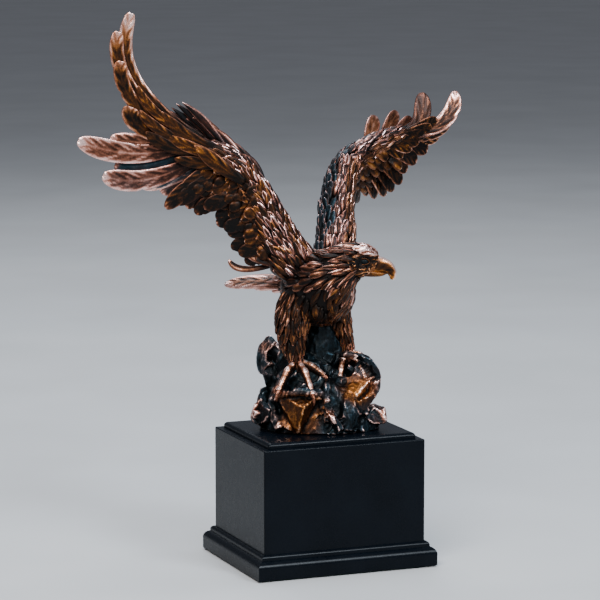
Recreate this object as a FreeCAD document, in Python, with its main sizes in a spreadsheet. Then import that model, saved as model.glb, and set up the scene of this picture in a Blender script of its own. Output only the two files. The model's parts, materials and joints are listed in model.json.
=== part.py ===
"""Bronze eagle statuette on a moulded wooden base, as a parametric document.

Frame: millimetres, +Z up, origin at the centre of the felt underside, the base's front faces -Y.
The figure is turned on its base: its own frame is the base's, turned by figure_turn about Z. In it
X runs away from the raised right wing and Y to the back. Rock, feet, body, tail and wings are drawn there.
"""

import FreeCAD, Part
import math
import os

import Sketcher
from FreeCAD import Placement, Rotation, Vector

doc = FreeCAD.newDocument("statuette")
PARTS = []  # every exported object, in the order it is made


# ---------------------------------------------------------------- driving dimensions
SIZES = {
    # base box
    "box_width": 114.0,
    "box_depth": 94.0,
    "wall_thick": 8.0,
    "wall_top": 77.5,
    "arris_round": 1.2,
    # cap board: a full-size lower part and a raised, rounded step
    "cap_lower": 8.0,
    "cap_step": 4.0,
    "cap_inset": 4.6,
    "cap_round": 2.6,
    # plinth moulding
    "plinth_out": 6.5,
    "plinth_height": 17.0,
    "bead_out": 2.6,
    "bead_drop": 2.8,
    "quirk_out": 2.8,
    "quirk_drop": 3.7,
    "ovolo_drop": 9.6,
    # underside
    "felt_thick": 1.0,
    "felt_inset": 2.0,
    "felt_round": 4.0,
    "floor_thick": 6.0,
    "floor_gap": 0.15,
    "block_side": 12.0,
    "block_height": 60.0,
    # fasteners
    "bolt_radius": 2.0,
    "bolt_hole": 2.25,
    "bolt_length": 21.0,
    "bolt_head_radius": 4.0,
    "bolt_head_height": 3.0,
    "bolt_socket": 1.5,
    "washer_radius": 6.0,
    "washer_thick": 1.2,
    "washer_clearance": 0.15,
    "thread_clearance": 0.02,
    "insert_radius": 3.2,
    "insert_length": 10.0,
    "bolt_spacing": 40.0,
    "wood_screw_radius": 1.6,
    "wood_screw_head": 3.4,
    "wood_screw_length": 22.0,
    "screw_clearance": 0.05,
    "pilot_clearance": 0.02,
    # castings
    "figure_turn": -21.7,
    "dowel_radius": 1.5,
    "dowel_fit": 0.03,
    "wing_dowel_length": 17.0,
    "tail_dowel_length": 16.0,
    "rod_radius": 1.25,
    "rod_length": 42.0,
    "rock_wall": 6.0,
    "boss_wall": 3.5,
}
sheet = doc.addObject("Spreadsheet::Sheet", "sizes")
for row, (alias, value) in enumerate(SIZES.items(), start=1):
    sheet.set(f"A{row}", alias)
    sheet.set(f"B{row}", str(value))
    sheet.setAlias(f"B{row}", alias)
doc.recompute()


def size(alias):
    """A driving dimension, read from the sheet."""
    return float(sheet.get(alias))


CAP_TOP = size("wall_top") + size("cap_lower") + size("cap_step")
FIGURE = Placement(Vector(0, 0, 0), Rotation(Vector(0, 0, 1), size("figure_turn")))


# ---------------------------------------------------------------- helpers for bodies and sketches
def new_body(name):
    body = doc.addObject("PartDesign::Body", name)
    body.Label = name
    PARTS.append(body)
    return body


def plane_of(body, role):
    return next(f for f in body.Origin.OriginFeatures if f.Role == role)


def new_sketch(body, name, role="XY_Plane", height=None, offset=None):
    """A sketch on one of the body's origin planes, lifted by an expression or placed by an offset."""
    sketch = body.newObject("Sketcher::SketchObject", name)
    sketch.AttachmentSupport = [(plane_of(body, role), "")]
    sketch.MapMode = "FlatFace"
    if offset is not None:
        sketch.AttachmentOffset = offset
    if height is not None:
        sketch.setExpression("AttachmentOffset.Base.z", height)
    return sketch


def closed_outline(sketch, points):
    """Closed outline of straight lines. Each point is (x, y, x expression, y expression)."""
    count = len(points)
    for i in range(count):
        here, there = points[i], points[(i + 1) % count]
        start, end = Vector(here[0], here[1], 0), Vector(there[0], there[1], 0)
        sketch.addGeometry(Part.LineSegment(start, end), False)
    for i in range(count):
        sketch.addConstraint(Sketcher.Constraint("Coincident", i, 2, (i + 1) % count, 1))
    bind_points(sketch, [(i, 1, *point) for i, point in enumerate(points)])


def bind_points(sketch, points):
    """Fixes sketch points from the origin by distances that follow expressions."""
    for geometry, end, x, y, x_rule, y_rule in points:
        for kind, value, rule in (("DistanceX", x, x_rule), ("DistanceY", y, y_rule)):
            index = sketch.addConstraint(Sketcher.Constraint(kind, -1, 1, geometry, end, value))
            if rule:
                sketch.setExpression(f"Constraints[{index}]", rule)


def rectangle(sketch, x_rule, y_rule):
    """Rectangle centred on the sketch origin, with half sizes given by expressions."""
    x, y = value_of(x_rule), value_of(y_rule)
    closed_outline(sketch, [
        (-x, -y, f"-({x_rule})", f"-({y_rule})"),
        (x, -y, x_rule, f"-({y_rule})"),
        (x, y, x_rule, y_rule),
        (-x, y, f"-({x_rule})", y_rule),
    ])


def value_of(rule):
    """The number that an expression on the sheet gives."""
    return float(sheet.evalExpression(rule))


def pad(body, sketch, name, length, midplane=False, reverse=False):
    feature = body.newObject("PartDesign::Pad", name)
    feature.Profile = sketch
    feature.setExpression("Length", length)
    feature.Midplane = midplane
    feature.Reversed = reverse
    doc.recompute()
    return feature


def pocket(body, sketch, name, length=None, reverse=False):
    """Cuts a pocket and checks that it took material away."""
    before = body.Shape.Volume
    feature = body.newObject("PartDesign::Pocket", name)
    feature.Profile = sketch
    feature.Reversed = reverse
    if length is None:
        feature.Type = "ThroughAll"
        feature.Midplane = True
    else:
        feature.setExpression("Length", length)
    doc.recompute()
    assert body.Shape.Volume < before - 1e-6, f"{name} cut nothing"
    return feature


def edges_where(shape, test):
    """Names of the edges whose two ends and middle all pass a test."""
    names = []
    for i, edge in enumerate(shape.Edges, start=1):
        middle = edge.valueAt((edge.FirstParameter + edge.LastParameter) / 2)
        points = [vertex.Point for vertex in edge.Vertexes] + [middle]
        if all(test(point) for point in points):
            names.append(f"Edge{i}")
    return names


def fillet(body, feature, name, radius, test):
    rounded = body.newObject("PartDesign::Fillet", name)
    rounded.Base = (feature, edges_where(feature.Shape, test))
    rounded.setExpression("Radius", radius)
    doc.recompute()
    return rounded


def near(a, b):
    return abs(a - b) < 1e-4


# ---------------------------------------------------------------- wooden base
def felt_pad():
    body = new_body("felt_pad")
    sketch = new_sketch(body, "felt_outline")
    rectangle(sketch, "sizes.box_width / 2 + sizes.plinth_out - sizes.felt_inset",
              "sizes.box_depth / 2 + sizes.plinth_out - sizes.felt_inset")
    slab = pad(body, sketch, "felt_slab", "sizes.felt_thick")
    fillet(body, slab, "felt_corners", "sizes.felt_round",
           lambda p: near(abs(p.x), size("box_width") / 2 + size("plinth_out") - size("felt_inset"))
           and near(abs(p.y), size("box_depth") / 2 + size("plinth_out") - size("felt_inset")))


def long_wall(name, side):
    """Front (side -1) or back (side 1) wall, the full width of the box, with rounded outer corners."""
    body = new_body(name)
    sketch = new_sketch(body, name + "_outline", height="sizes.felt_thick")
    half, deep = size("box_width") / 2, size("box_depth") / 2
    outer = "sizes.box_depth / 2"
    inner = "sizes.box_depth / 2 - sizes.wall_thick"
    sign = "" if side > 0 else "-"
    closed_outline(sketch, [
        (-half, side * deep, "-sizes.box_width / 2", f"{sign}({outer})"),
        (half, side * deep, "sizes.box_width / 2", f"{sign}({outer})"),
        (half, side * (deep - size("wall_thick")), "sizes.box_width / 2", f"{sign}({inner})"),
        (-half, side * (deep - size("wall_thick")), "-sizes.box_width / 2", f"{sign}({inner})"),
    ])
    slab = pad(body, sketch, name + "_slab", "sizes.wall_top - sizes.felt_thick")
    fillet(body, slab, name + "_arris", "sizes.arris_round",
           lambda p: near(abs(p.x), half) and near(p.y, side * deep))


def short_wall(name, side):
    """Left (side -1) or right (side 1) wall, butted between the front and back walls."""
    body = new_body(name)
    sketch = new_sketch(body, name + "_outline", height="sizes.felt_thick")
    half, deep = size("box_width") / 2, size("box_depth") / 2 - size("wall_thick")
    long_rule, inner = "sizes.box_width / 2", "sizes.box_width / 2 - sizes.wall_thick"
    deep_rule = "sizes.box_depth / 2 - sizes.wall_thick"
    sign = "" if side > 0 else "-"
    closed_outline(sketch, [
        (side * half, -deep, f"{sign}({long_rule})", f"-({deep_rule})"),
        (side * half, deep, f"{sign}({long_rule})", deep_rule),
        (side * (half - size("wall_thick")), deep, f"{sign}({inner})", deep_rule),
        (side * (half - size("wall_thick")), -deep, f"{sign}({inner})", f"-({deep_rule})"),
    ])
    pad(body, sketch, name + "_slab", "sizes.wall_top - sizes.felt_thick")


def cap_board():
    """Routed top board: full size below, a raised step with a rounded edge above, two bolt holes."""
    body = new_body("cap_board")
    lower = new_sketch(body, "cap_outline", height="sizes.wall_top")
    rectangle(lower, "sizes.box_width / 2", "sizes.box_depth / 2")
    slab = pad(body, lower, "cap_slab", "sizes.cap_lower")
    half, deep = size("box_width") / 2, size("box_depth") / 2
    shoulder = size("wall_top") + size("cap_lower")
    upright = fillet(body, slab, "cap_arris", "sizes.arris_round",
                     lambda p: near(abs(p.x), half) and near(abs(p.y), deep))
    fillet(body, upright, "cap_shoulder_arris", "sizes.arris_round * 0.6", lambda p: near(p.z, shoulder))
    upper = new_sketch(body, "step_outline", height="sizes.wall_top + sizes.cap_lower")
    rectangle(upper, "sizes.box_width / 2 - sizes.cap_inset", "sizes.box_depth / 2 - sizes.cap_inset")
    step = pad(body, upper, "cap_raised_step", "sizes.cap_step")
    in_x, in_y = half - size("cap_inset"), deep - size("cap_inset")
    corners = fillet(body, step, "step_arris", "sizes.arris_round",
                     lambda p: near(abs(p.x), in_x) and near(abs(p.y), in_y) and p.z > shoulder - 1e-4)
    fillet(body, corners, "step_round", "sizes.cap_round", lambda p: near(p.z, CAP_TOP))
    holes = new_sketch(body, "bolt_holes_layout", height="sizes.wall_top")
    for index, side in enumerate((-1, 1)):
        turn = math.radians(size("figure_turn"))
        reach = side * size("bolt_spacing") / 2
        x, y = reach * math.cos(turn), reach * math.sin(turn)
        holes.addGeometry(Part.Circle(Vector(x, y, 0), Vector(0, 0, 1), size("bolt_hole")), False)
        sign = "" if side > 0 else "-"
        bind_points(holes, [(index, 3, x, y,
                             f"{sign}(sizes.bolt_spacing / 2 * cos(sizes.figure_turn * 1 deg))",
                             f"{sign}(sizes.bolt_spacing / 2 * sin(sizes.figure_turn * 1 deg))")])
        radius = holes.addConstraint(Sketcher.Constraint("Radius", index, size("bolt_hole")))
        holes.setExpression(f"Constraints[{radius}]", "sizes.bolt_hole")
    pocket(body, holes, "bolt_holes")


def plinth(name, half_length, half_depth, angle):
    """One mitred length of moulding. It is drawn along X with its back at Y 0, then turned into place."""
    body = new_body(name)
    profile = new_sketch(body, name + "_profile", role="YZ_Plane")
    top, foot = size("plinth_height"), size("felt_thick")
    bead = (-size("bead_out"), top - size("bead_drop"))
    quirk = (-size("quirk_out"), top - size("quirk_drop"))
    ovolo = (-size("plinth_out"), top - size("ovolo_drop"))

    def quarter(start, end):
        """Quarter round that leaves its start level and arrives upright."""
        middle = Vector(start[0] + (end[0] - start[0]) * math.sin(math.pi / 4),
                        end[1] + (start[1] - end[1]) * math.cos(math.pi / 4), 0)
        return Part.Arc(Vector(*start, 0), middle, Vector(*end, 0))

    points = [(0, foot), (0, top), bead, (bead[0], quirk[1]), quirk, ovolo, (ovolo[0], foot)]
    rules = [
        ("0", "sizes.felt_thick"),
        ("0", "sizes.plinth_height"),
        ("-sizes.bead_out", "sizes.plinth_height - sizes.bead_drop"),
        ("-sizes.bead_out", "sizes.plinth_height - sizes.quirk_drop"),
        ("-sizes.quirk_out", "sizes.plinth_height - sizes.quirk_drop"),
        ("-sizes.plinth_out", "sizes.plinth_height - sizes.ovolo_drop"),
        ("-sizes.plinth_out", "sizes.felt_thick"),
    ]
    count = len(points)
    for i in range(count):
        here, there = points[i], points[(i + 1) % count]
        if i in (1, 4):
            profile.addGeometry(quarter(here, there), False)
        else:
            profile.addGeometry(Part.LineSegment(Vector(*here, 0), Vector(*there, 0)), False)
    # an arc's own ends run anticlockwise, so each joint is found by where the ends lie
    ends = {}
    for i in range(count):
        curve = profile.Geometry[i]
        for end, point in ((1, curve.StartPoint), (2, curve.EndPoint)):
            key = (round(point.x, 4), round(point.y, 4))
            ends.setdefault(key, []).append((i, end))
    for pair in ends.values():
        profile.addConstraint(Sketcher.Constraint("Coincident", *pair[0], *pair[1]))
    for point, rule in zip(points, rules):
        geometry, end = ends[(round(point[0], 4), round(point[1], 4))][0]
        bind_points(profile, [(geometry, end, *point, *rule)])
    for i in (1, 4):
        radius = profile.Geometry[i].Radius
        profile.addConstraint(Sketcher.Constraint("Radius", i, radius))
    pad(body, profile, name + "_bar", f"2 * ({half_length} + sizes.plinth_out)", midplane=True)
    for side, sign in ((-1, "-"), (1, "")):
        mitre = new_sketch(body, f"{name}_mitre_{'a' if side < 0 else 'b'}")
        inner, out = value_of(half_length), size("plinth_out")
        over = "(sizes.plinth_out + 2)"
        closed_outline(mitre, [
            (side * inner, 0, f"{sign}({half_length})", "0"),
            (side * (inner + out + 2), -(out + 2), f"{sign}({half_length} + {over})", f"-{over}"),
            (side * (inner + out + 2), 0, f"{sign}({half_length} + {over})", "0"),
        ])
        pocket(body, mitre, f"{name}_mitre_cut_{'a' if side < 0 else 'b'}")
    depth = value_of(half_depth)
    turn = Rotation(Vector(0, 0, 1), angle)
    body.Placement = Placement(turn.multVec(Vector(0, -depth, 0)), turn)


def bottom_board():
    """Floor of the box, screwed up into the corner blocks."""
    body = new_body("bottom_board_blank")
    sketch = new_sketch(body, "floor_outline", height="sizes.felt_thick")
    rectangle(sketch, "sizes.box_width / 2 - sizes.wall_thick - sizes.floor_gap",
              "sizes.box_depth / 2 - sizes.wall_thick - sizes.floor_gap")
    pad(body, sketch, "floor_slab", "sizes.floor_thick")
    holes = new_sketch(body, "floor_screw_layout", height="sizes.felt_thick")
    clear = "sizes.wood_screw_radius + sizes.screw_clearance"
    reach_x = "(sizes.box_width / 2 - sizes.wall_thick - sizes.block_side / 2)"
    reach_y = "(sizes.box_depth / 2 - sizes.wall_thick - sizes.block_side / 2)"
    for index, (x, y) in enumerate(screw_places()):
        holes.addGeometry(Part.Circle(Vector(x, y, 0), Vector(0, 0, 1), value_of(clear)), False)
        radius = holes.addConstraint(Sketcher.Constraint("Radius", index, value_of(clear)))
        holes.setExpression(f"Constraints[{radius}]", clear)
        x_sign, y_sign = ("" if x > 0 else "-"), ("" if y > 0 else "-")
        bind_points(holes, [(index, 3, x, y, x_sign + reach_x, y_sign + reach_y)])
    pocket(body, holes, "floor_screw_holes")
    return body


def screw_places():
    """Centres of the corner blocks, where the wood screws go."""
    x = size("box_width") / 2 - size("wall_thick") - size("block_side") / 2
    y = size("box_depth") / 2 - size("wall_thick") - size("block_side") / 2
    return [(sx * x, sy * y) for sx in (-1, 1) for sy in (-1, 1)]


def group(name, members):
    """One exported node that holds several equal, separate solids."""
    compound = doc.addObject("Part::Compound", name)
    compound.Label = name
    compound.Links = members
    PARTS.append(compound)
    return compound


def corner_blocks():
    """Square glue blocks in the box's inner corners, drilled for the wood screws."""
    blocks = []
    for index, (x, y) in enumerate(screw_places()):
        block = doc.addObject("Part::Box", f"glue_block_{index}")
        block.setExpression("Length", "sizes.block_side")
        block.setExpression("Width", "sizes.block_side")
        block.setExpression("Height", "sizes.block_height")
        side = size("block_side") / 2
        floor = size("felt_thick") + size("floor_thick")
        block.Placement.Base = Vector(x - side, y - side, floor)
        hole = doc.addObject("Part::Cylinder", f"glue_block_hole_{index}")
        hole.setExpression("Radius", "sizes.wood_screw_radius + sizes.pilot_clearance")
        hole.setExpression("Height", "sizes.wood_screw_length + 2")
        hole.Placement.Base = Vector(x, y, floor - size("floor_thick"))
        cut = doc.addObject("Part::Cut", f"drilled_block_{index}")
        cut.Base, cut.Tool = block, hole
        blocks.append(cut)
    group("corner_blocks", blocks)


# ---------------------------------------------------------------- fasteners
def revolved(name, outline, place):
    """A turned piece: an outline of (radius, height) points spun about Z, as a Part::Revolution."""
    wire = doc.addObject("Part::Feature", name + "_outline")
    corners = [Vector(r, 0, h) for r, h in outline]
    wire.Shape = Part.Face(Part.makePolygon(corners + corners[:1]))
    turned = doc.addObject("Part::Revolution", name)
    turned.Source = wire
    turned.Axis = Vector(0, 0, 1)
    turned.Base = Vector(0, 0, 0)
    turned.Angle = 360
    turned.Solid = True
    turned.Placement = place
    return turned


def bolt_places():
    """Feet of the figure's two fixing bolts, on the figure's own X axis."""
    reach = size("bolt_spacing") / 2
    return [FIGURE.multVec(Vector(side * reach, 0, 0)) for side in (-1, 1)]


def wood_screws():
    """Countersunk screws that hold the bottom board. The felt covers their heads."""
    shank, head, length = size("wood_screw_radius"), size("wood_screw_head"), size("wood_screw_length")
    taper, tip = head - shank, 3.0
    recess_radius, recess_depth = head * 0.3, taper * 0.35
    outline = [(0, recess_depth), (recess_radius, 0), (head, 0), (shank, taper), (shank, length - tip),
               (0, length)]
    return [revolved(f"wood_screw_{index}", outline, Placement(Vector(x, y, size("felt_thick")), Rotation()))
            for index, (x, y) in enumerate(screw_places())]


def countersink(board, screws):
    """The bottom board with its countersinks, cut by the screws' own heads."""
    blank = board
    for index, screw in enumerate(screws):
        cut = doc.addObject("Part::Cut", f"countersink_{index}")
        cut.Base, cut.Tool = blank, screw
        blank = cut
    blank.Label = "bottom_board"
    PARTS[PARTS.index(board)] = blank


def mounting_bolts():
    """Socket-head bolts, washers and threaded inserts that clamp the figure to the cap board."""
    shank, head, length = size("bolt_radius"), size("bolt_head_radius"), size("bolt_length")
    tall, socket = size("bolt_head_height"), size("bolt_socket")
    socket_depth = tall * 0.6
    bolt = [(0, socket_depth - tall), (socket, socket_depth - tall), (socket, -tall), (head, -tall), (head, 0),
            (shank, 0), (shank, length), (0, length)]
    hole, rim, thick = shank + size("washer_clearance"), size("washer_radius"), size("washer_thick")
    washer = [(hole, 0), (rim, 0), (rim, thick), (hole, thick)]
    bore, wide, deep = shank + size("thread_clearance"), size("insert_radius"), size("insert_length")
    sleeve = [(bore, 0), (wide, 0), (wide, deep), (bore, deep)]
    bolts, washers, inserts = [], [], []
    for index, foot in enumerate(bolt_places()):
        seat = Placement(foot + Vector(0, 0, size("wall_top") - thick), Rotation())
        bolts.append(revolved(f"mounting_bolt_{index}", bolt, seat))
        washers.append(revolved(f"mounting_washer_{index}", washer, seat))
        top = Placement(foot + Vector(0, 0, CAP_TOP), Rotation())
        inserts.append(revolved(f"rock_insert_{index}", sleeve, top))
    group("mounting_bolts", bolts)
    group("mounting_washers", washers)
    group("rock_inserts", inserts)


# ---------------------------------------------------------------- shapes of the castings
def between(start, end, share):
    return start + (end - start) * share


def curve_point(points, share):
    """Point of the quadratic curve through three control points."""
    a, b, c = points
    rest = 1 - share
    return a * (rest * rest) + b * (2 * share * rest) + c * (share * share)


def curve_direction(points, share):
    a, b, c = points
    return ((b - a) * (1 - share) + (c - b) * share).normalize()


def oval(centre, direction, tall, half_tall, half_wide):
    """Oval wire square to a direction, its longer half size along the tall direction."""
    along = Vector(direction).normalize()
    up = (tall - along * tall.dot(along)).normalize()
    side = along.cross(up)
    return Part.Wire([Part.Ellipse(centre + up * half_tall, centre + side * half_wide, centre).toShape()])


def tube(stations, tall):
    """Smooth solid through ovals. Each station is (centre, half_tall, half_wide)."""
    wires = []
    for i, (centre, half_tall, half_wide) in enumerate(stations):
        before, after = stations[max(i - 1, 0)][0], stations[min(i + 1, len(stations) - 1)][0]
        wires.append(oval(centre, after - before, tall, half_tall, half_wide))
    return Part.makeLoft(wires, True, False)


FEATHER_STATIONS = (0.0, 0.25, 0.5, 0.72, 0.88, 0.97)  # shares of a feather's length
BROADEST = 0.7  # where along its length a feather is widest
ROOT_WIDTH = 0.45  # its width at the root, as a share of the widest


def feather(root, bend, tip, face, width, thick):
    """Flight feather: a thin lens section carried along a curve, broad past the middle, rounded at its tip."""
    curve = (root, bend, tip)
    wires = []
    for share in FEATHER_STATIONS:
        centre, along = curve_point(curve, share), curve_direction(curve, share)
        side = along.cross(face).normalize()
        normal = side.cross(along).normalize()
        if share < BROADEST:
            growth = math.sin(math.pi / 2 * share / BROADEST)
            half = width / 2 * (ROOT_WIDTH + (1 - ROOT_WIDTH) * growth)
        else:
            half = width / 2 * math.sqrt(1 - ((share - BROADEST) / (1 - BROADEST)) ** 2)
        rise = normal * (thick / 2 * (1 - 0.5 * share))
        left, right = centre - side * half, centre + side * half
        over = Part.Arc(left, centre + rise, right).toShape()
        under = Part.Arc(right, centre - rise, left).toShape()
        wires.append(Part.Wire([over, under]))
    return Part.makeLoft(wires, True, False)


def fan(spec, face):
    """Feathers from a row of roots to a curve of tips. lift bows each one off the straight line."""
    feathers = []
    for i in range(spec["count"]):
        share = i / (spec["count"] - 1)
        root = between(spec["roots"][0], spec["roots"][1], share)
        tip = curve_point(spec["tips"], share)
        bend = between(root, tip, 0.5) + between(spec["lift"][0], spec["lift"][1], share)
        width = spec["widths"][0] + (spec["widths"][1] - spec["widths"][0]) * share
        feathers.append(feather(root, bend, tip, face, width, spec["thick"]))
    return feathers


def casting(name, shape):
    """Stores a cast piece, turned from the figure's frame into the base's."""
    node = doc.addObject("Part::Feature", name)
    node.Label = name
    node.Shape = shape
    node.Placement = FIGURE
    PARTS.append(node)
    return node


def largest(shape):
    """The main solid of a cut, without any sliver that the cut left over."""
    return max(shape.Solids, key=lambda solid: solid.Volume)


def rod(start, direction, radius, length):
    return Part.makeCylinder(radius, length, start, direction)


# Right wing: raised and held out to the side. Its four outer primaries sweep up.
RIGHT_WING = {
    "face": Vector(0.10, -1.0, 0.0),
    "arm": [
        (Vector(-10, -6, 195), 14, 9),
        (Vector(-21.5, -9, 208), 13, 8),
        (Vector(-31, -11, 228), 11, 7),
        (Vector(-42, -12, 251), 9.5, 6),
        (Vector(-59, -14, 273), 8, 5),
        (Vector(-78, -15, 279), 6, 3.5),
        (Vector(-92, -16, 285), 3.5, 2.2),
    ],
    "fans": [
        {"count": 4, "roots": (Vector(-78, -15, 285), Vector(-84, -15, 278)), "thick": 2.6,
         "tips": (Vector(-122, -19, 366.5), Vector(-132, -21, 340), Vector(-122.5, -22, 306)),
         "lift": (Vector(-41, -2, -3), Vector(-25, -2, 0)), "widths": (9.5, 12)},
        {"count": 6, "roots": (Vector(-88, -15, 282), Vector(-66, -14, 270)), "thick": 2.6,
         "tips": (Vector(-157, -22, 284), Vector(-150, -20, 262), Vector(-104, -16, 249)),
         "lift": (Vector(0, -2, -13), Vector(-5, 0, -1)), "widths": (14, 12)},
        {"count": 10, "roots": (Vector(-60, -14, 271), Vector(-22, -10, 214)), "thick": 2.6,
         "tips": (Vector(-93, -17, 239), Vector(-60, -16, 238), Vector(-53, -12, 201)),
         "lift": (Vector(0, -2, 2), Vector(0, -2, 1)), "widths": (13, 12)},
    ],
    "dowels": (Vector(-11, -6, 198), 3.0),
    "dowel_axis": Vector(-0.64, -0.12, 0.76),
}
# Left wing: held back, so that it runs away to the side and the rear, and less raised.
LEFT_WING = {
    "face": Vector(0.86, -0.51, 0.0),
    "arm": [
        (Vector(7, 6, 196), 15, 11),
        (Vector(11.5, 15, 211), 14, 12),
        (Vector(12, 32, 236), 11, 10),
        (Vector(19, 50, 259), 9, 8),
        (Vector(38, 68, 272), 7, 5),
        (Vector(60, 86, 280), 4, 2.6),
    ],
    "fans": [
        {"count": 4, "roots": (Vector(38, 66, 270), Vector(58, 84, 279)), "thick": 2.6,
         "tips": (Vector(40, 88, 289), Vector(58, 98, 283), Vector(71, 98, 305)),
         "lift": (Vector(0, 2, -3), Vector(3, 2, -4)), "widths": (10, 11)},
        {"count": 6, "roots": (Vector(56, 82, 278), Vector(36, 65, 268)), "thick": 2.6,
         "tips": (Vector(95.5, 112, 304), Vector(84, 106, 272), Vector(60, 80, 254)),
         "lift": (Vector(8, 4, -9), Vector(0, 0, 1)), "widths": (11, 12)},
        {"count": 4, "roots": (Vector(36, 64, 267), Vector(24, 53, 257)), "thick": 2.6,
         "tips": (Vector(57, 78, 247), Vector(45, 84, 229), Vector(34, 73, 238)),
         "lift": (Vector(2, -1, 1), Vector(1, 1, 1)), "widths": (13, 12)},
        {"count": 6, "roots": (Vector(21, 47, 251), Vector(11, 22, 216)), "thick": 2.6,
         "tips": (Vector(21, 72, 236), Vector(16, 66, 216), Vector(10, 46, 201)),
         "lift": (Vector(0, 2, 1), Vector(0, 2, 1)), "widths": (12, 12)},
    ],
    "dowels": (Vector(8, 8, 198), 3.0),
    "dowel_axis": Vector(0.16, 0.50, 0.85),
}
# Trunk, neck and head as one run of ovals, from the rump to the face.
TRUNK = [
    (Vector(-17, 30, 181), 7, 6.5),
    (Vector(-10, 18, 181), 18.5, 16.5),
    (Vector(-3.5, 5, 183), 24, 22),
    (Vector(2, -7, 186), 25, 22.5),
    (Vector(8, -14, 193), 20, 17.5),
    (Vector(15.5, -16.5, 199), 14.5, 13),
    (Vector(23.5, -16, 202.5), 12, 11),
    (Vector(30.5, -15, 204), 11, 9.5),
    (Vector(37, -14, 202.5), 7, 6),
]
BEAK = [
    (Vector(35.5, -14, 202.5), 6.4, 4.6),
    (Vector(41, -13.6, 201.5), 5.4, 3.4),
    (Vector(46, -13.4, 198.5), 3.6, 2.2),
    (Vector(48.6, -13.2, 193.2), 0.9, 0.7),
]
THIGHS = {
    "right": [
        (Vector(-11, -5, 180), 16, 13),
        (Vector(-17, -9, 164), 13, 11.5),
        (Vector(-18, -11, 151), 9, 8.5),
        (Vector(-16, -12, 141), 5.5, 5.4),
        (Vector(-14.5, -12, 134), 4.2, 4.0),
    ],
    "left": [
        (Vector(9, 7, 179), 15, 12),
        (Vector(11, 7, 166), 12, 9),
        (Vector(15, 7, 153), 8, 6.2),
        (Vector(17.6, 7, 143.5), 4.8, 4.4),
        (Vector(18.3, 7, 138), 4.0, 3.8),
    ],
}
HEADING = Vector(0.494, -0.869, 0)  # the way the body faces, in the figure's frame


def body_shape():
    """Trunk, head, beak and both thighs of the body casting, before any hole is drilled."""
    trunk = tube(TRUNK, Vector(0, 0, 1))
    beak = tube(BEAK, Vector(0.6, 0, 1))
    thighs = [tube(stations, HEADING) for stations in THIGHS.values()]
    return trunk.multiFuse([beak] + thighs)


def wing_shape(spec):
    """Arm and flight feathers of one wing casting, fused."""
    arm = tube(spec["arm"], Vector(0, 0, 1))
    blades = [blade for row in spec["fans"] for blade in fan(row, spec["face"])]
    return arm.multiFuse(blades)


TAIL_ROOT = Vector(-15, 27, 181)
TAIL_COUNT = 7
TAIL_SPREAD = 30.0
TAIL_LENGTH = 62.0
TAIL_DROP = 3.0


def tail_shape():
    """Tail: a short stump and a fan of feathers spread about the line opposite the heading."""
    stump = tube([(TAIL_ROOT + HEADING * 4, 5.5, 5), (TAIL_ROOT - HEADING * 10, 4.5, 4.2)], Vector(0, 0, 1))
    feathers = []
    for i in range(TAIL_COUNT):
        share = 2 * i / (TAIL_COUNT - 1) - 1
        away = Rotation(Vector(0, 0, 1), TAIL_SPREAD * share).multVec(HEADING * -1)
        reach = TAIL_LENGTH * (1 - 0.08 * abs(share))
        tip = TAIL_ROOT + away * reach + Vector(0, 0, -TAIL_DROP)
        start = TAIL_ROOT + away * 3
        middle = between(start, tip, 0.5) + Vector(0, 0, 3)
        feathers.append(feather(start, middle, tip, Vector(0, 0, 1), 13, 2.8))
    return stump.multiFuse(feathers)


# Rock: rings of an irregular outline, from the cap board up to the perch.
ROCK_RINGS = [
    # height above the cap, centre x, centre y, half width, half depth
    (0.0, 0, 0, 42, 31),
    (9.0, 0, 0, 39, 30),
    (24.0, 0, 0, 35, 27),
    (33.0, 1, 0, 34, 24),
    (39.0, 4, 1, 31, 20),
    (44.0, 6, 2, 25, 16),
]
ROCK_SIDES = 11
CRAGS = [
    # points along each crag, and its radius at them
    ([Vector(-20, 4, 108), Vector(-31, 3, 126), Vector(-35, 2, 140), Vector(-31, 2, 152)], [13, 8, 5.5, 2.4]),
    ([Vector(15, 2, 107), Vector(26, 1, 119), Vector(28.5, 1, 130), Vector(26, 1, 140)], [15, 12.5, 9.8, 3.4]),
    ([Vector(20, -6, 98.6), Vector(35, -6, 98), Vector(44, -6, 100)], [8.8, 8.2, 6]),
    ([Vector(-24, -8, 98.8), Vector(-37, -8, 100), Vector(-43.5, -7, 102.5)], [9, 8.5, 6]),
    ([Vector(5, 8, 122), Vector(4, 8, 144), Vector(2, 6, 168)], [17, 13, 12]),
]


def rock_ring(height, x, y, half_width, half_depth, shrink=0.0):
    """Uneven polygon at one height. Its corners wander in and out by a fixed pattern."""
    corners = []
    for i in range(ROCK_SIDES):
        angle = 2 * math.pi * i / ROCK_SIDES + 0.012 * height
        wander = 1 + 0.08 * math.sin(2.7 * i + 0.09 * height)
        corners.append(Vector(x + (half_width - shrink) * wander * math.cos(angle),
                              y + (half_depth - shrink) * wander * math.sin(angle), CAP_TOP + height))
    return Part.makePolygon(corners + corners[:1])


def knob(points, radii):
    """Crag that stands out of the rock: a tapering five-sided spur along a list of points."""
    wires = []
    for i, (point, radius) in enumerate(zip(points, radii)):
        before, after = points[max(i - 1, 0)], points[min(i + 1, len(points) - 1)]
        along = (after - before).normalize()
        side = along.cross(Vector(0, 1, 0.2)).normalize()
        other = along.cross(side)
        corners = [point + side * (radius * math.cos(a)) + other * (radius * math.sin(a))
                   for a in (2 * math.pi * k / 5 for k in range(5))]
        wires.append(Part.makePolygon(corners + corners[:1]))
    return Part.makeLoft(wires, True, True)


def rock_outer():
    """Outside of the rock with all its crags."""
    core = Part.makeLoft([rock_ring(*ring) for ring in ROCK_RINGS], True, True)
    return core.multiFuse([knob(points, radii) for points, radii in CRAGS])


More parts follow.
